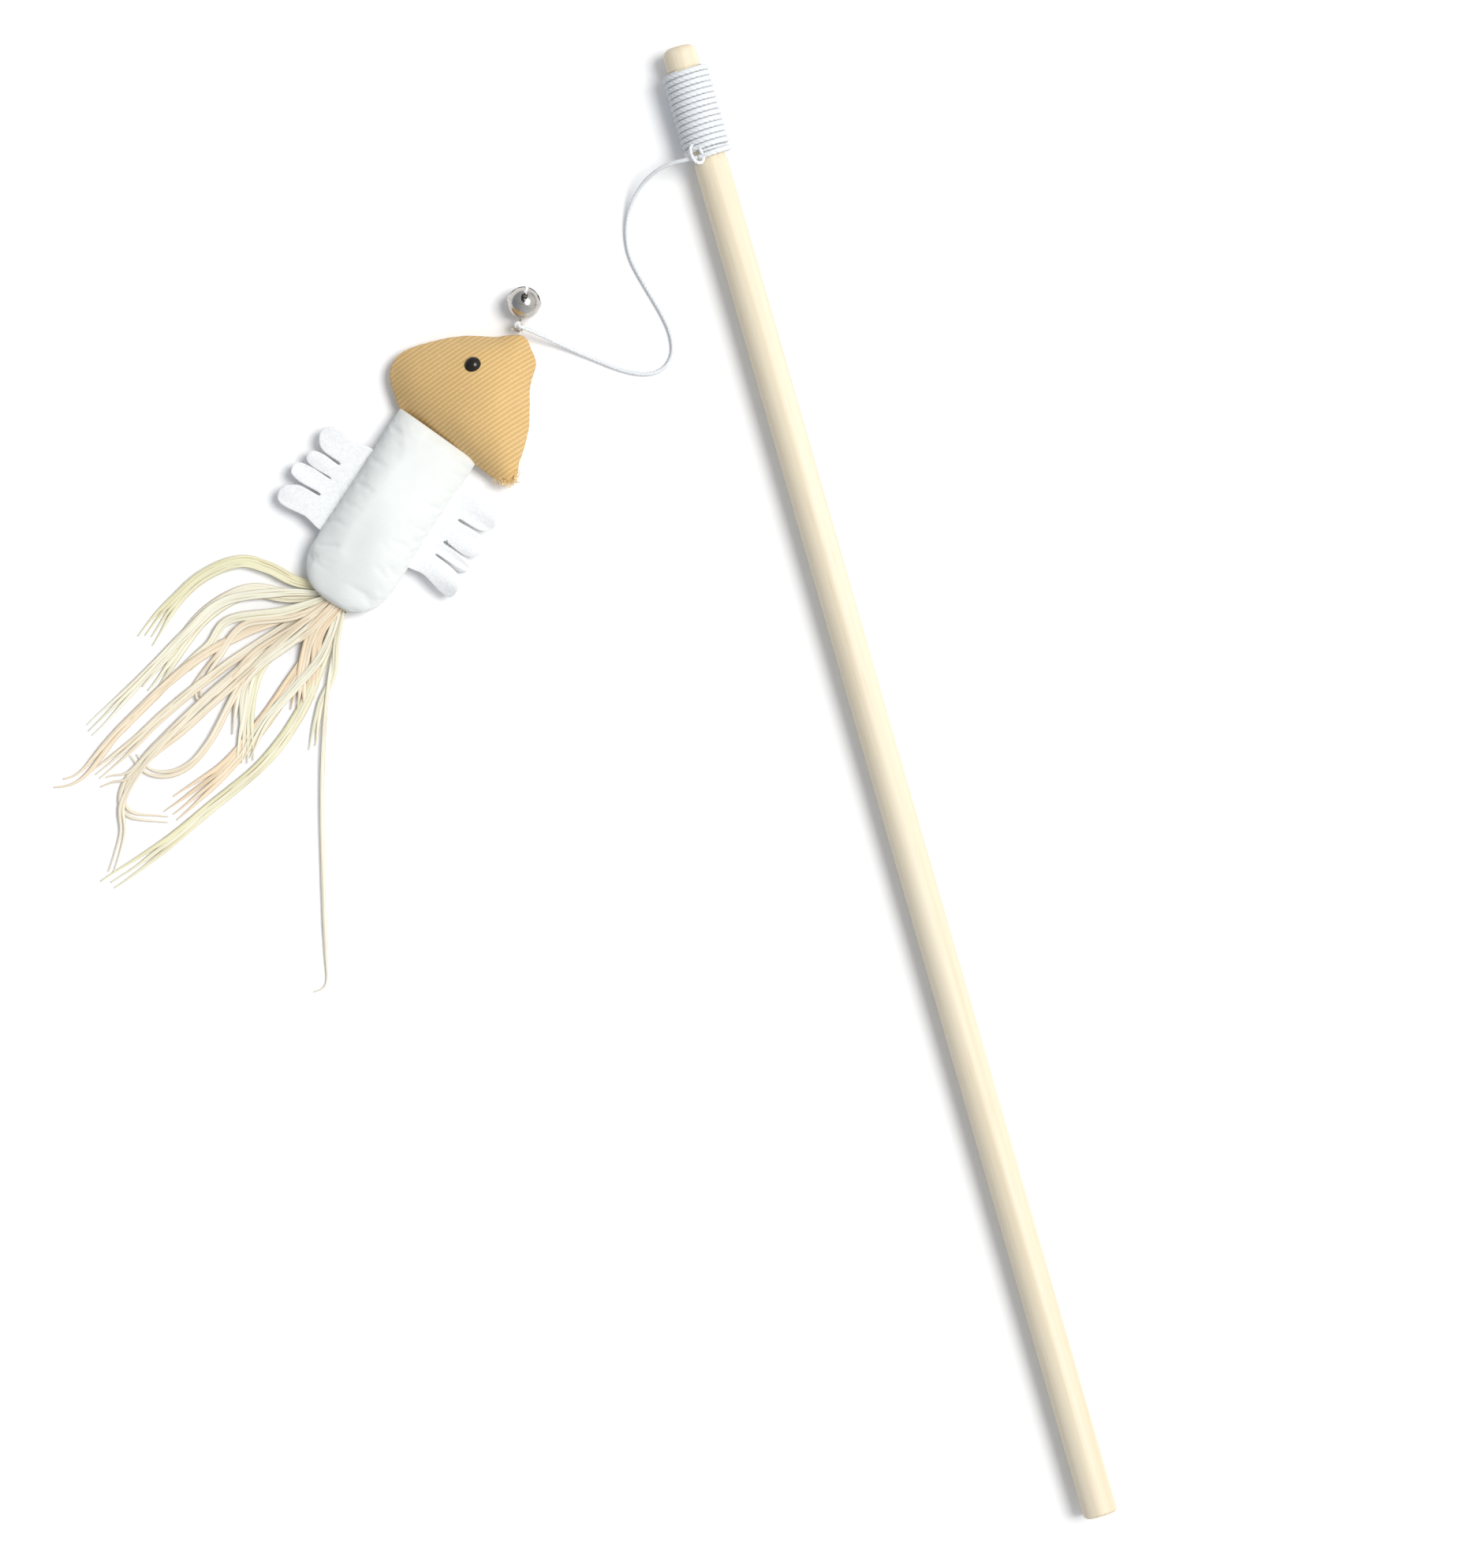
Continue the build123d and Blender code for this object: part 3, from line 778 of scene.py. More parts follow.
def sewn_cover(name, loop, spacing, start_height):
    """Two flat panels sewn along their outline, a little apart in the middle. The flat place of each
    point is kept as the panel's own coordinates."""
    edge_run = 6.0
    flat, rim, faces = fill_loop(loop, spacing)
    verts = [(p.x, p.y, 0.0) for p in flat[:rim]]
    heights = [min(edge_distance(p, loop) / edge_run, 1.0) * start_height for p in flat[rim:]]
    verts += [(p.x, p.y, h) for p, h in zip(flat[rim:], heights)]
    verts += [(p.x, p.y, -h) for p, h in zip(flat[rim:], heights)]
    inner = len(flat) - rim
    back = [[v if v < rim else v + inner for v in reversed(face)] for face in faces]
    mesh = bpy.data.meshes.new(name)
    mesh.from_pydata(verts, [], [list(face) for face in faces] + back)
    layer = mesh.uv_layers.new(name="panel")
    for polygon in mesh.polygons:
        for corner in polygon.loop_indices:
            x, y, _ = verts[mesh.loops[corner].vertex_index]
            layer.data[corner].uv = (x, y)
    return mesh


def shell_mesh(name, verts, faces):
    """A mesh with its doubled points joined and its faces turned to one side."""
    mesh = bpy.data.meshes.new(name)
    mesh.from_pydata(verts, [], faces)
    shape = bmesh.new()
    shape.from_mesh(mesh)
    bmesh.ops.remove_doubles(shape, verts=shape.verts, dist=1e-6)
    bmesh.ops.recalc_face_normals(shape, faces=shape.faces)
    shape.to_mesh(mesh)
    shape.free()
    return mesh


def run_cloth(host, frames, **settings):
    """Runs a short cloth simulation with pressure inside and no weight. Returns where the host's points
    end up. The host goes."""
    cloth = host.modifiers.new("filling", "CLOTH")
    for name, value in settings.items():
        setattr(cloth.settings, name, value)
    cloth.settings.use_pressure = True
    cloth.settings.effector_weights.gravity = 0.0
    cloth.point_cache.frame_start = 1
    cloth.point_cache.frame_end = frames
    for number in range(1, frames + 1):
        bpy.context.scene.frame_set(number)
    graph = bpy.context.evaluated_depsgraph_get()
    points = [vertex.co.copy() for vertex in host.evaluated_get(graph).data.vertices]
    bpy.context.scene.frame_set(1)
    bpy.data.objects.remove(host)
    return points


def relax(mesh, values, rounds, fixed):
    """Evens out one value per point with its neighbours', a few rounds over, but for the fixed points."""
    beside = [[] for _ in values]
    for edge in mesh.edges:
        a, b = edge.vertices
        beside[a].append(b)
        beside[b].append(a)
    for _ in range(rounds):
        means = [sum(values[n] for n in near) / len(near) for near in beside]
        values = [
            value if index < fixed else (value + mean) / 2
            for index, (value, mean) in enumerate(zip(values, means))
        ]
    return values


def new_piece(name, mesh, material):
    """A mesh as a piece at the origin, with its material."""
    mesh.name = name
    mesh.materials.clear()
    mesh.materials.append(material)
    for polygon in mesh.polygons:
        polygon.use_smooth = True
    return linked(name, mesh)


# Head
HEAD_OUTLINE = [
    (1.3, 4.1), (5.3, -1.5), (10.7, -9.7), (18.6, -17.2), (23.5, -20.0), (28.6, -19.6), (32.4, -16.0),
    (35.6, -11.0), (37.4, 0.5), (37.0, 12.0), (37.2, 18.6), (36.4, 22.6), (34.2, 24.0), (30.0, 22.6),
    (20.9, 19.6), (11.5, 14.0), (5.6, 11.8), (2.6, 8.0),
]
HEAD_SPACING = 0.8
HEAD_START = 1.5
HEAD_RISE = 10.6
HEAD_SINK = 4.4
HEAD_PRESSURE = 4.0
HEAD_STIFFNESS = 40.0
HEAD_DRAW = 0.1
HEAD_EVENING = 30


def fill_head(mesh):
    """Fills the head's cover by a short cloth simulation at an enlarged scale and returns its points, in the
    cover's own units."""
    enlarged = 0.02
    mesh.transform(Matrix.Scale(enlarged, 4))
    points = run_cloth(
        linked("head_sim", mesh),
        frames=24,
        quality=8,
        mass=0.15,
        tension_stiffness=HEAD_STIFFNESS,
        compression_stiffness=HEAD_STIFFNESS,
        shear_stiffness=HEAD_STIFFNESS * 0.4,
        bending_stiffness=1.5,
        air_damping=6.0,
        uniform_pressure_force=HEAD_PRESSURE,
    )
    mesh.transform(Matrix.Scale(1 / enlarged, 4))
    return [spot / enlarged for spot in points]


def make_head():
    """The stuffed twill head: two panels sewn at the edge and filled."""
    loop = smooth_loop(HEAD_OUTLINE, HEAD_SPACING)
    mesh = sewn_cover("head_cover", loop, HEAD_SPACING, HEAD_START)
    flat = [vertex.co.copy() for vertex in mesh.vertices]
    points = fill_head(mesh)
    heights = relax(mesh, [spot.z for spot in points], HEAD_EVENING, len(loop))
    top = max(heights)
    bottom = min(heights)
    for vertex, start, spot, height in zip(mesh.vertices, flat, points, heights):
        moved = start.lerp(spot, HEAD_DRAW)
        height *= HEAD_RISE / top if height > 0 else HEAD_SINK / -bottom
        vertex.co = on_lure(moved.x, moved.y, SEAM + height)
    head = new_piece("head_cover", mesh, TWILL)
    smooth = head.modifiers.new("smooth", "SUBSURF")
    smooth.levels = 1
    smooth.render_levels = 1
    finish_piece(head, "lure", "twill", "head_front_panel", "head_back_panel", "head_filling")
    return head


HEAD = make_head()


# Body. Places along it are on the lure's line, the rounded end starts at the turn, and the hem is the part of
# the cloth that is folded in at the mouth.
BODY_MOUTH = 35.2
BODY_END = 87.6
BODY_TURN = 74.0
BODY_HALF = 12.25
BODY_MOUTH_RISE = 4.6
BODY_SWELL = 3.3
BODY_SLOPE = 1.2
BODY_SINK = 4.2
BODY_SIDE = 0.4
BODY_DRIFT = 0.4
BODY_CREST = 0.16
BODY_FULL_FROM = 0.2
BODY_ROUND = 2.5
BODY_LIFT = 1.3
BODY_LOWEST = 0.1
BODY_HEM = 0.9
BODY_LIP = 0.15
BODY_END_GAP = 0.01
BODY_ROWS = 90
BODY_COLUMNS = 96
MOUTH_SLANT = 0.035
MOUTH_MIDDLE = -4.0
MOUTH_RUN = 12.0
PUCKER_DEPTH = 0.4
PUCKER_REACH = 3.0
DENT_DEPTH = 0.5


def end_share(along):
    """How far a place lies into the rounded end: 0 before it, 1 at the very end."""
    return min(max((along - BODY_TURN) / (BODY_END - BODY_TURN), 0.0), 1.0)


def body_seam(along):
    """Height of the sewn edge: level, then lifting at the end over the tail's root."""
    return SEAM + BODY_LIFT * end_share(along) ** 2


def body_section(along, turn, inset):
    """A point of the body's surface. Its section is a lens at the mouth and fuller behind it, with a sewn
    edge on each side, its crest beside the middle and soft puckers and dents."""
    reach = (along - BODY_MOUTH) / (BODY_END - BODY_MOUTH)
    end = end_share(along)
    narrow = (1.0 - end ** BODY_ROUND) ** (1 / BODY_ROUND)
    half = BODY_HALF * narrow - inset * min(narrow * 4, 1.0)
    fill = (1.0 - end ** 2.2) ** 0.55
    full = min(reach / BODY_FULL_FROM, 1.0)
    swell = BODY_SWELL * math.sin(math.pi * min(reach * 1.15, 1.0)) ** 0.8
    rise = (BODY_MOUTH_RISE + swell + BODY_SLOPE * reach) * fill
    sink = BODY_SINK * fill
    across = math.cos(turn)
    from_crest = across + BODY_CREST * (1.0 - across ** 2)
    bulge = max(0.0, 1.0 - abs(from_crest) ** (2.2 + 1.2 * full)) ** (0.7 - 0.16 * full)
    side = BODY_SIDE + BODY_DRIFT * reach + half * across
    height = bulge * (rise - inset) if math.sin(turn) > 0 else -bulge * (sink - inset)
    near_edge = math.exp(-abs(BODY_HALF - abs(side)) / PUCKER_REACH)
    pucker = noise.noise(Vector((along * 0.42, math.copysign(3.0, side), 1.7))) * near_edge
    dent = noise.noise(Vector((along * 0.075, side * 0.11, 5.0)))
    return side, body_seam(along) + height + bulge * (PUCKER_DEPTH * pucker + DENT_DEPTH * dent)


def fill_body(mesh):
    """Lets the filling work on the sleeve in a short cloth simulation: the cloth is cut a little full, its
    mouth, end and side seams stay, and no point moves further than the cap."""
    cap = 0.9 * MM
    enlarged = 20.0
    start = [vertex.co.copy() for vertex in mesh.vertices]
    host = linked("body_sim", mesh)
    held = host.vertex_groups.new(name="held")
    for vertex in mesh.vertices:
        flat = vertex.co / MM - LURE
        along = flat.dot(ALONG)
        at_mouth = along < BODY_MOUTH + 1.2
        at_end = along > BODY_END - 0.6
        at_seam = abs(flat.z - body_seam(along)) < 0.3
        if at_mouth or at_end or at_seam:
            held.add([vertex.index], 1.0, "REPLACE")
    mesh.transform(Matrix.Scale(enlarged, 4))
    moved = run_cloth(
        host,
        frames=20,
        quality=6,
        mass=0.1,
        tension_stiffness=30.0,
        compression_stiffness=30.0,
        shear_stiffness=12.0,
        bending_stiffness=0.3,
        air_damping=4.0,
        shrink_min=-0.016,
        vertex_group_mass=held.name,
        uniform_pressure_force=1.5,
    )
    for vertex, before, after in zip(mesh.vertices, start, moved):
        shift = after / enlarged - before
        if shift.length > cap:
            shift = shift.normalized() * cap
        vertex.co = before + shift


def body_rings():
    """Place along the body and inset of each ring of points, from inside the mouth to the end."""
    lip = BODY_MOUTH + BODY_LIP
    rings = [(BODY_MOUTH + BODY_HEM, BODY_HEM), (lip, BODY_HEM), (BODY_MOUTH, 0.4)]
    for row in range(BODY_ROWS + 1):
        rings.append((lip + (BODY_END - BODY_END_GAP - lip) * row / BODY_ROWS, 0.0))
    return rings


def make_body():
    """The white canvas body: a filled sleeve, open over the head's base and sewn round at its end."""
    rings = body_rings()
    verts = []
    for along, inset in rings:
        for column in range(BODY_COLUMNS):
            side, height = body_section(along, FULL_TURN * column / BODY_COLUMNS, inset)
            at_mouth = max(0.0, 1.0 - (along - BODY_MOUTH) / MOUTH_RUN)
            slant = MOUTH_SLANT * (side - MOUTH_MIDDLE) * at_mouth
            verts.append(on_lure(along + slant, side, height))
    faces = []
    for ring in range(len(rings) - 1):
        for column in range(BODY_COLUMNS):
            near = ring * BODY_COLUMNS + column
            next_near = ring * BODY_COLUMNS + (column + 1) % BODY_COLUMNS
            faces.append((near, near + BODY_COLUMNS, next_near + BODY_COLUMNS, next_near))
    faces.append(tuple(range(BODY_COLUMNS)))
    faces.append(tuple(reversed(range(len(verts) - BODY_COLUMNS, len(verts)))))
    mesh = shell_mesh("body_cover", verts, faces)
    fill_body(mesh)
    for vertex in mesh.vertices:
        vertex.co.z = max(vertex.co.z, BODY_LOWEST * MM)
    body = new_piece("body_cover", mesh, CANVAS)
    finish_piece(body, "lure", "canvas", "body_front_panel", "body_back_panel", "body_filling")


make_body()


# Fins. Each finger: where it starts and ends along the lure at its foot, how far out its tip reaches, and how
# far the tip leans towards the tail.
LEFT_FINGERS = [
    (48.8, 55.6, 25.8, -0.6),
    (56.3, 60.2, 25.4, 0.0),
    (60.6, 65.2, 27.0, 0.4),
    (65.9, 72.4, 26.4, 1.2),
]
RIGHT_FINGERS = [
    (44.2, 50.7, 26.0, -0.6),
    (51.4, 57.6, 27.0, 0.0),
    (58.3, 61.7, 26.4, 0.3),
    (62.3, 68.0, 27.2, 1.6),
]
FIN_ROOT = 8.5
FIN_ROOT_INSET = 1.0
FIN_FORK = 16.8
FINGER_FOOT = 0.8
FINGER_BELLY = 1.0
FINGER_SWELL = 0.15
FINGER_TIP = 0.74
FINGER_ROUND = 0.36
FIN_HEIGHT = 4.2
FIN_RISE = 1.1
FIN_CURL = 3.4
FIN_DROOP = 1.2
FIN_BEND = 11.0
FIN_BEND_RUN = 16.0
FIN_LOWEST = 1.6
FIN_EDGE_SPACING = 0.5
FIN_SPACING = 0.7
FELT_THICK = 1.9
FELT_SOFT_EDGE = 0.45


def fin_outline(fingers, hand):
    """The cut edge of a fin: a straight root, then rounded fingers parted by narrow cuts."""
    points = [(fingers[0][0] + FIN_ROOT_INSET, FIN_ROOT)]
    for number, (first, last, reach, lean) in enumerate(fingers):
        half = (last - first) / 2
        tip = (first + last) / 2 + lean
        foot = FIN_FORK + FINGER_FOOT
        belly = (FIN_FORK + reach) / 2 + FINGER_BELLY
        shoulder = reach - half * FINGER_ROUND
        points += [
            (first, foot),
            (first + lean * 0.5 - FINGER_SWELL, belly),
            (tip - half * FINGER_TIP, shoulder),
            (tip, reach),
            (tip + half * FINGER_TIP, shoulder),
            (last + lean * 0.5 + FINGER_SWELL, belly),
            (last, foot),
        ]
        if number < len(fingers) - 1:
            points.append(((last + fingers[number + 1][0]) / 2, FIN_FORK))
    points.append((fingers[-1][1] - FIN_ROOT_INSET, FIN_ROOT))
    outline = [Vector((along, hand * side)) for along, side in points]
    return outline[::-1] if hand > 0 else outline


def make_fin(name, node, fingers, hand):
    """One felt fin, cut flat, its fingers curling a little up or down."""
    loop = smooth_loop(fin_outline(fingers, hand), FIN_EDGE_SPACING)
    flat, _, faces = fill_loop(loop, FIN_SPACING)
    area = 0.0
    for face in faces:
        a, b, c = (flat[corner] for corner in face)
        area += abs((b - a).cross(c - a)) / 2
    verts = []
    for spot in flat:
        out = max(0.0, abs(spot.y) - FIN_BEND) / FIN_BEND_RUN
        curl = noise.noise(Vector((spot.x * 0.19, hand * 4.0, 2.0)))
        height = FIN_HEIGHT + FIN_RISE * out + FIN_CURL * curl * out ** 2 - FIN_DROOP * out ** 3
        verts.append(on_lure(spot.x, spot.y, max(height, FIN_LOWEST)))
    fin = new_piece(name, shell_mesh(name, verts, [list(face) for face in faces]), FELT)
    wall = fin.modifiers.new("thickness", "SOLIDIFY")
    wall.thickness = FELT_THICK * MM
    wall.offset = 0.0
    soft = fin.modifiers.new("soft_edge", "BEVEL")
    soft.width = FELT_SOFT_EDGE * MM
    soft.segments = 2
    soft.limit_method = "ANGLE"
    finish_piece(fin, "lure", "felt", node)
    area * MM ** 2


make_fin("fin_left_felt", "fin_left", LEFT_FINGERS, -1)
make_fin("fin_right_felt", "fin_right", RIGHT_FINGERS, 1)


# Tail strands: tone from 0, peach, to 1, greenish yellow; width; layer in the pile; route over the lure's
# flat frame from the root to the tip.
STRANDS = [
    (0.95, 3.4, 1, [(85, -2), (88, -10), (89, -18), (92, -25.5), (101, -31.5), (113, -34.2), (126, -34.5)]),
    (0.55, 4.2, 0, [(86, -1), (92, -9), (97, -19), (108, -25), (122, -26.5), (136, -28)]),
    (0.60, 2.5, 2, [(86, -1), (93, -12), (103, -23), (116, -26.8), (137, -31), (156, -35)]),
    (0.25, 2.2, 3, [(86, 0), (96, -6), (108, -14.5), (122, -21.5), (145, -27), (162, -29.5), (169, -36)]),
    (0.65, 2.4, 4, [(86, 0), (96, -8), (106, -19), (115, -20), (126, -22.5)]),
    (0.15, 1.8, 5, [(86, 1), (96, -5), (105, -15), (116, -16.3), (128, -17.2)]),
    (0.10, 1.7, 6, [
        (86, 1), (98, -3.5), (109, -8.6), (119, -10.4), (127, -13), (126.5, -15.5), (122, -17.3),
    ]),
    (0.35, 2.5, 2, [(86, 0), (102, -7), (117, -13.5), (134, -19.2), (150, -23.2), (163, -27.5)]),
    (0.40, 2.0, 4, [
        (86, 2), (104, -6), (124, -12.2), (143, -16.6), (154, -18.3), (158, -22), (161.5, -24.5),
    ]),
    (0.30, 1.8, 5, [(86, 2), (98, -3), (116, -7.2), (136, -5.8), (146, -8), (151, -15), (148, -24)]),
    (0.20, 2.6, 7, [(86, 2), (97, 0), (105, -4), (113, -7.5)]),
    (0.50, 2.2, 6, [(86, 2), (100, -1.5), (112, -6), (120, -6.2), (131, -0.5)]),
    (0.05, 4.0, 1, [(86, 3), (108, 3.5), (126, 3), (140, 1.2), (150, -2), (158, -4.8)]),
    (0.30, 1.8, 3, [
        (86, 1), (110, -6), (136, -13), (152, -18), (160, -17.3), (163, -13), (160, -6), (156.5, 0.5),
    ]),
    (0.45, 1.5, 4, [(86, 1), (112, -8), (140, -15.5), (160, -16.5), (169, -11.5), (183, -7.5)]),
    (0.85, 3.0, 2, [(86, 3), (100, 6.8), (116, 9.8), (133, 9), (150, 3.8), (166, -1.2), (183, -8.2)]),
    (0.10, 2.8, 6, [(86, 3), (95, 1), (104, 3.2), (117, 9.4)]),
    (0.00, 2.4, 5, [(86, 4), (96, 3), (105, 7), (113, 10)]),
    (0.55, 1.6, 3, [(86, 4), (95, 7.5), (103, 11.6), (112, 13.2), (123, 18)]),
    (0.60, 2.4, 5, [(86, 3), (100, 6.4), (112, 5), (124, 3.3), (137, 4.4)]),
    (0.70, 3.4, 3, [(86, 2), (100, -3), (112, -5.6), (124, -1.5), (138, 6.6)]),
    (0.50, 0.9, 1, [(86, 4), (104, 11), (124, 22), (146, 36.5), (165, 50), (172, 54.6), (175.5, 53.2)]),
]
TAIL_DROP_FROM = 87.0
TAIL_DROP_RUN = 24.0
TAIL_ROOT_HEIGHT = 2.2
TAIL_REST_HEIGHT = 0.4
TAIL_LAYER = 0.36
TAIL_WAVE = 1.5
PLY_WIDTH = 0.95
TAIL_SIZES = {"Step": 1.0 * MM, "Thickness": 0.1, "Twist": 2.4, "Stray": 0.9 * MM, "Lowest": 0.6 * MM}


def strand_height(along, layer, seed, share):
    """Height of a strand's middle: from the root in the body down to the pile and, at its tip, the floor."""
    down = min(max((along - TAIL_DROP_FROM) / TAIL_DROP_RUN, 0.0), 1.0)
    drop = down * down * (3 - 2 * down)
    root = TAIL_ROOT_HEIGHT + TAIL_LAYER * layer
    rest = TAIL_REST_HEIGHT + TAIL_LAYER * layer * (1.0 - 0.8 * share)
    wave = TAIL_WAVE * noise.noise(Vector((along * 0.06, seed * 3.1, 0.5))) + 0.4
    return root + (rest - root) * drop + max(wave, 0.0) * drop * (1.0 - share)


def tail_lines():
    """The strands' routes as chains of edges, with each strand's tone, width and fibres on its points."""
    verts, edges, tones, widths, plies = [], [], [], [], []
    for number, (tone, width, layer, route) in enumerate(STRANDS):
        for step, (along, side) in enumerate(route):
            if step:
                edges.append((len(verts) - 1, len(verts)))
            share = step / (len(route) - 1)
            verts.append(on_lure(along, side, strand_height(along, layer, number, share)))
            tones.append(tone)
            widths.append(width * MM * (0.55 + 0.45 * min(share * 4, 1.0)))
            plies.append(max(1, round(width / PLY_WIDTH)))
    mesh = bpy.data.meshes.new("tail_lines")
    mesh.from_pydata(verts, edges, [])
    mesh.attributes.new("strand_tone", "FLOAT", "POINT").data.foreach_set("value", tones)
    mesh.attributes.new("strand_width", "FLOAT", "POINT").data.foreach_set("value", widths)
    mesh.attributes.new("strand_plies", "INT", "POINT").data.foreach_set("value", plies)
    return mesh


def store(kit, shape, name, value):
    """Keeps a value on each point under a name that the raffia's finish reads."""
    settings = {"data_type": "FLOAT", "domain": "POINT"}
    return kit.geometry("StoreNamedAttribute", {0: shape, "Name": name, "Value": value}, settings)


def tail_tree():
    """Raffia along the strands' lines: flat fibres side by side, which wander and part towards the tip."""
    kit, shape, size = new_tree("raffia_tail", TAIL_SIZES)
    shortest = 0.12
    wander_scale = 75.0
    lift_scale = 60.0
    part_from = 0.72
    taper_from = 0.8
    width = kit.geometry("InputNamedAttribute", {"Name": "strand_width"}, {"data_type": "FLOAT"})
    tone = kit.geometry("InputNamedAttribute", {"Name": "strand_tone"}, {"data_type": "FLOAT"})
    plies = kit.geometry("InputNamedAttribute", {"Name": "strand_plies"}, {"data_type": "INT"})
    factor = kit.geometry("SplineParameter", out=0)
    run = kit.other(factor, "Length")
    lines = kit.geometry("MeshToCurve", {0: shape})
    lines = kit.geometry("CurveSplineType", {0: lines}, {"spline_type": "CATMULL_ROM"})
    lines = kit.geometry("ResampleCurve", {0: lines, "Length": size["Step"]}, {"mode": "LENGTH"})
    lines = kit.geometry("DuplicateElements", {0: lines, "Amount": plies}, {"domain": "SPLINE"})
    number = kit.other(lines, "Duplicate Index")
    count = kit.geometry("InputIndex")
    chance = kit.add("ShaderNodeTexWhiteNoise", {"noise_dimensions": "1D"}, {"W": count * 1.37})
    shorter = chance * shortest * (1.0 - 1.0 / plies)
    lines = kit.geometry("TrimCurve", {0: lines, 2: 0.0, 3: 1.0 - shorter}, {"mode": "FACTOR"})
    x, y, _ = kit.split(kit.geometry("InputPosition"))
    wander = kit.noise(kit.combine(x * wander_scale, y * wander_scale, number * 4.7), 1.0, 1.0) - 0.5
    lift = kit.noise(kit.combine(x * lift_scale, y * lift_scale, number * 3.1 + 9.0), 1.0, 1.0) - 0.3
    share = (number + 0.5) / plies - 0.5
    spread = share * width * (0.85 + 0.9 * kit.step(factor, part_from, 1.0)) + wander * size["Stray"]
    tangent = kit.geometry("InputTangent")
    sideways = kit.vectors("CROSS_PRODUCT", {0: tangent, 1: (0.0, 0.0, 1.0)})
    sideways = kit.vectors("NORMALIZE", {0: sideways})
    shift = kit.vectors("SCALE", {0: sideways, "Scale": spread})
    rise = kit.combine(0.0, 0.0, lift * size["Stray"] * 0.7)
    shift = kit.vectors("ADD", {0: shift, 1: rise})
    lines = kit.geometry("SetPosition", {0: lines, "Offset": shift})
    flat_x, flat_y, height = kit.split(kit.geometry("InputPosition"))
    above_floor = kit.combine(flat_x, flat_y, kit.maths("MAXIMUM", height, size["Lowest"]))
    lines = kit.geometry("SetPosition", {0: lines, "Position": above_floor})
    lines = kit.geometry("SetCurveNormal", {0: lines}, {"mode": "Z_UP"})
    lines = kit.geometry("SetCurveTilt", {0: lines, "Tilt": wander * size["Twist"]})
    lines = store(kit, lines, "strand_run", run)
    own_tone = tone + (kit.noise(kit.combine(number * 2.3, tone * 9.0, 0.5), 1.0, 0.0) - 0.5) * 0.6
    lines = store(kit, lines, "strand_tone", own_tone)
    ring = kit.geometry("CurvePrimitiveCircle", {"Resolution": 8, "Radius": 1.0})
    across, up, _ = kit.split(kit.geometry("InputPosition"))
    fold = kit.maths("ABSOLUTE", across) * 0.12
    flat = kit.combine(across * 0.5, up * size["Thickness"] + fold, 0.0)
    ring = store(kit, ring, "strand_side", across)
    ring = kit.geometry("SetPosition", {0: ring, "Position": flat})
    taper = 1.35 - 0.95 * kit.step(factor, taper_from, 1.0)
    skin = {0: lines, 1: ring, "Scale": width / plies * taper, "Fill Caps": True}
    ribbon = kit.geometry("CurveToMesh", skin)
    ribbon = kit.geometry("SetShadeSmooth", {0: ribbon})
    close_tree(kit, ribbon, RAFFIA)
    return kit


def make_tail():
    """The loose raffia tail."""
    tail = grow("raffia_tail", tail_tree(), TAIL_SIZES, tail_lines())
    nodes = [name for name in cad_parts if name.startswith("raffia")]
    finish_piece(tail, "lure", "raffia", *nodes)


make_tail()


# Eye
EYE_PLACE = (15.5, -1.5)
EYE_RADII = (2.35, 2.15, 1.6)
EYE_SINK = 0.5


def surface_height(piece, along, side):
    """Height of a piece's upper surface over a place on the lure, in millimetres."""
    graph = bpy.context.evaluated_depsgraph_get()
    above = on_lure(along, side, 40.0)
    hit, spot, _, _ = piece.evaluated_get(graph).ray_cast(above, Vector((0.0, 0.0, -1.0)))
    return spot.z / MM if hit else SEAM


def make_eye():
    """The black bead sewn on the front of the head."""
    along, side = EYE_PLACE
    seat = lure_matrix(along, side, surface_height(HEAD, along, side) - EYE_SINK)
    size = Matrix.Diagonal((*(radius * MM for radius in EYE_RADII), 1.0))
    shape = bmesh.new()
    bmesh.ops.create_uvsphere(shape, u_segments=40, v_segments=24, radius=1.0)
    bmesh.ops.transform(shape, matrix=seat @ size, verts=shape.verts)
    mesh = bpy.data.meshes.new("front_bead")
    shape.to_mesh(mesh)
    shape.free()
    finish_piece(new_piece("front_bead", mesh, BEAD), "lure", "bead", "eye_front")


make_eye()


# Fray at the head's corner
FRAY_CORNER = [(31.5, 22.4), (34.0, 22.9), (35.2, 22.6), (35.8, 20.6), (36.0, 18.4)]
FRAY_SIZES = {"Count": 90, "Length": 2.6 * MM, "Radius": 0.11 * MM, "Spread": 1.9, "Seed": 3}
FRAY_TURN = math.radians(62.0)
FRAY_HEIGHT = SEAM + 0.4


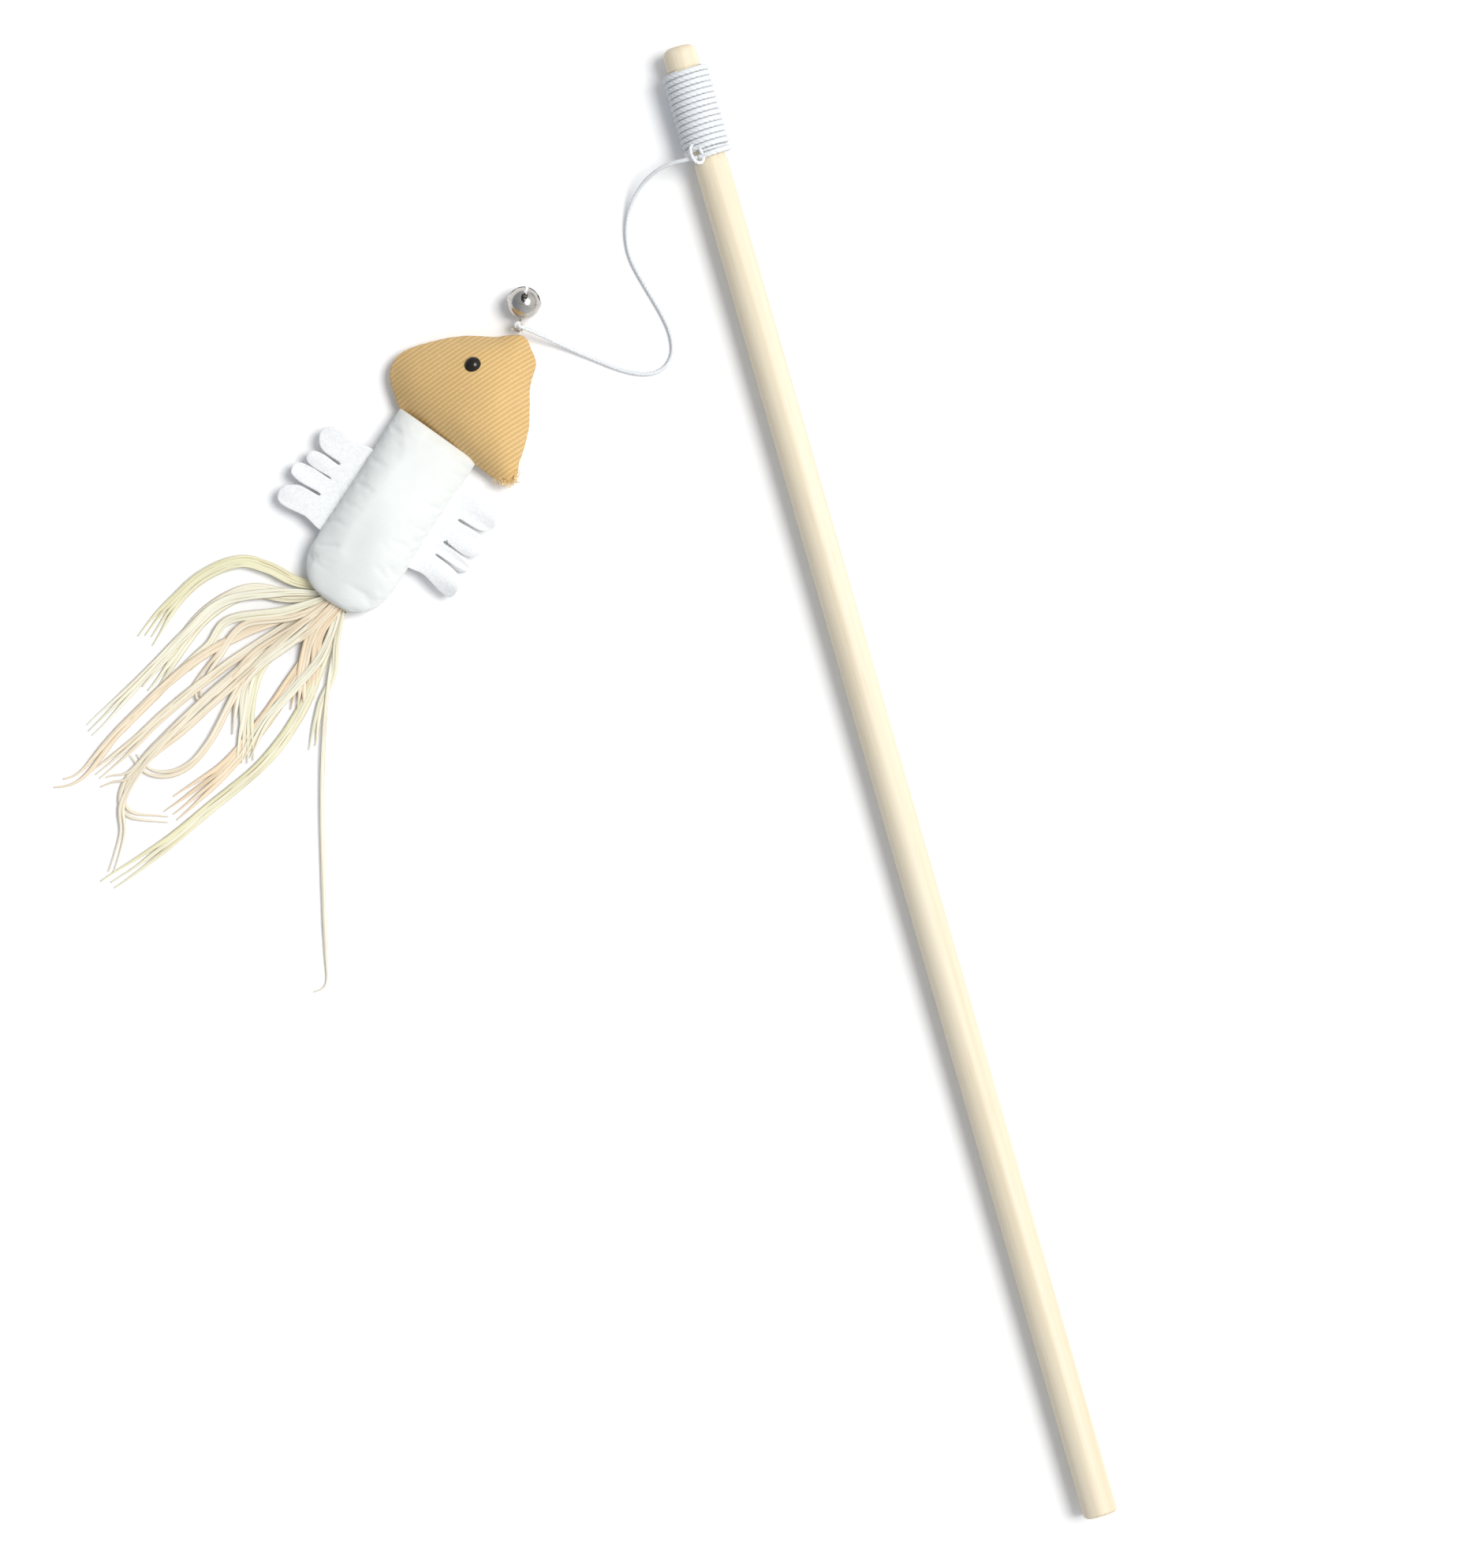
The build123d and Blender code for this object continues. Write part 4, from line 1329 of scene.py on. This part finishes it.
def fray_tree():
    """Loose bent threads along an edge, each turned and sized by chance."""
    kit, shape, size = new_tree("frayed_edge", FRAY_SIZES)
    edge = kit.geometry("ResampleCurve", {0: shape, "Count": size["Count"]}, {"mode": "COUNT"})
    bend = {"Resolution": 6, 1: (0.0, 0.0, 0.0), 2: (0.6, 0.12, 0.1), 3: (1.0, -0.1, -0.15)}
    thread = kit.geometry("CurveQuadraticBezier", bend)
    scale = kit.combine(size["Length"], size["Length"], size["Length"])
    thread = kit.geometry("Transform", {0: thread, "Scale": scale})
    ring = kit.geometry("CurvePrimitiveCircle", {"Resolution": 5, "Radius": size["Radius"]})
    thread = kit.geometry("CurveToMesh", {0: thread, 1: ring, "Fill Caps": True})
    count = kit.geometry("InputIndex")
    chances = []
    for step in range(4):
        seed = count * 1.31 + size["Seed"] * 7.7 + step * 19.3
        chances.append(kit.add("ShaderNodeTexWhiteNoise", {"noise_dimensions": "1D"}, {"W": seed}))
    turn = kit.combine(
        chances[0] * FULL_TURN,
        (chances[1] - 0.5) * size["Spread"],
        (chances[2] - 0.5) * size["Spread"] + LURE_HEADING + FRAY_TURN,
    )
    grown = 0.35 + 0.65 * chances[3]
    sockets = {0: edge, "Instance": thread, "Rotation": turn, "Scale": kit.combine(grown, grown, grown)}
    threads = kit.geometry("InstanceOnPoints", sockets)
    threads = kit.geometry("SetShadeSmooth", {0: threads})
    close_tree(kit, threads, LOOSE_YARN)
    return kit


def make_fray():
    """Yarn ends that fray from the cut corner of the head's seam."""
    edge = line_curve("frayed_corner", [on_lure(along, side, FRAY_HEIGHT) for along, side in FRAY_CORNER])
    fray = grow("frayed_corner", fray_tree(), FRAY_SIZES, edge)
    finish_piece(fray, "lure", "twill")


make_fray()


# Binding of the tail's root
BINDING_PLACE = (86.4, 1.3, 3.5)
BINDING_SIZES = {
    "Turns": 5.0,
    "Pitch": 0.5 * MM,
    "Half Width": 4.6 * MM,
    "Half Height": 2.3 * MM,
    "Radius": 0.27 * MM,
    "Lay": 4000.0,
    "Step": 0.3 * MM,
}


def binding_tree():
    """Thread wound round the tail's root in a flat oval."""
    kit, _, size = new_tree("root_binding", BINDING_SIZES)
    line = blank_line(kit, count=400)
    turns = kit.geometry("SplineParameter", out=0) * size["Turns"]
    angle = turns * FULL_TURN
    shift = (turns - size["Turns"] * 0.5) * size["Pitch"]
    side = kit.maths("COSINE", angle) * size["Half Width"]
    rise = kit.sine(angle) * size["Half Height"]
    coil = kit.geometry("SetPosition", {0: line, "Position": kit.combine(shift, side, rise)})
    turn = {"Rotation": (0.0, 0.0, LURE_HEADING), "Translation": on_lure(*BINDING_PLACE)}
    coil = kit.geometry("Transform", {0: coil, **turn})
    close_tree(kit, cord_skin(kit, coil, size), THREAD)
    return kit


def make_binding():
    """The thread that binds the tail strands under the body's end."""
    binding = grow("root_binding", binding_tree(), BINDING_SIZES, bpy.data.meshes.new("root_binding"))
    finish_piece(binding, "lure", "thread", "tail_binding")


make_binding()


# Carried-over nodes
def dress(material, *names):
    """Gives CAD nodes their material."""
    for name in names:
        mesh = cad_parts[name].data
        mesh.materials.clear()
        mesh.materials.append(material)


dress(WOOD, "stick")
dress(PLATE, "bell_upper_shell", "bell_lower_shell", "bell_shank", "bell_pellet")
dress(THREAD, "hang_loop")
dress(BEAD, "eye_back")
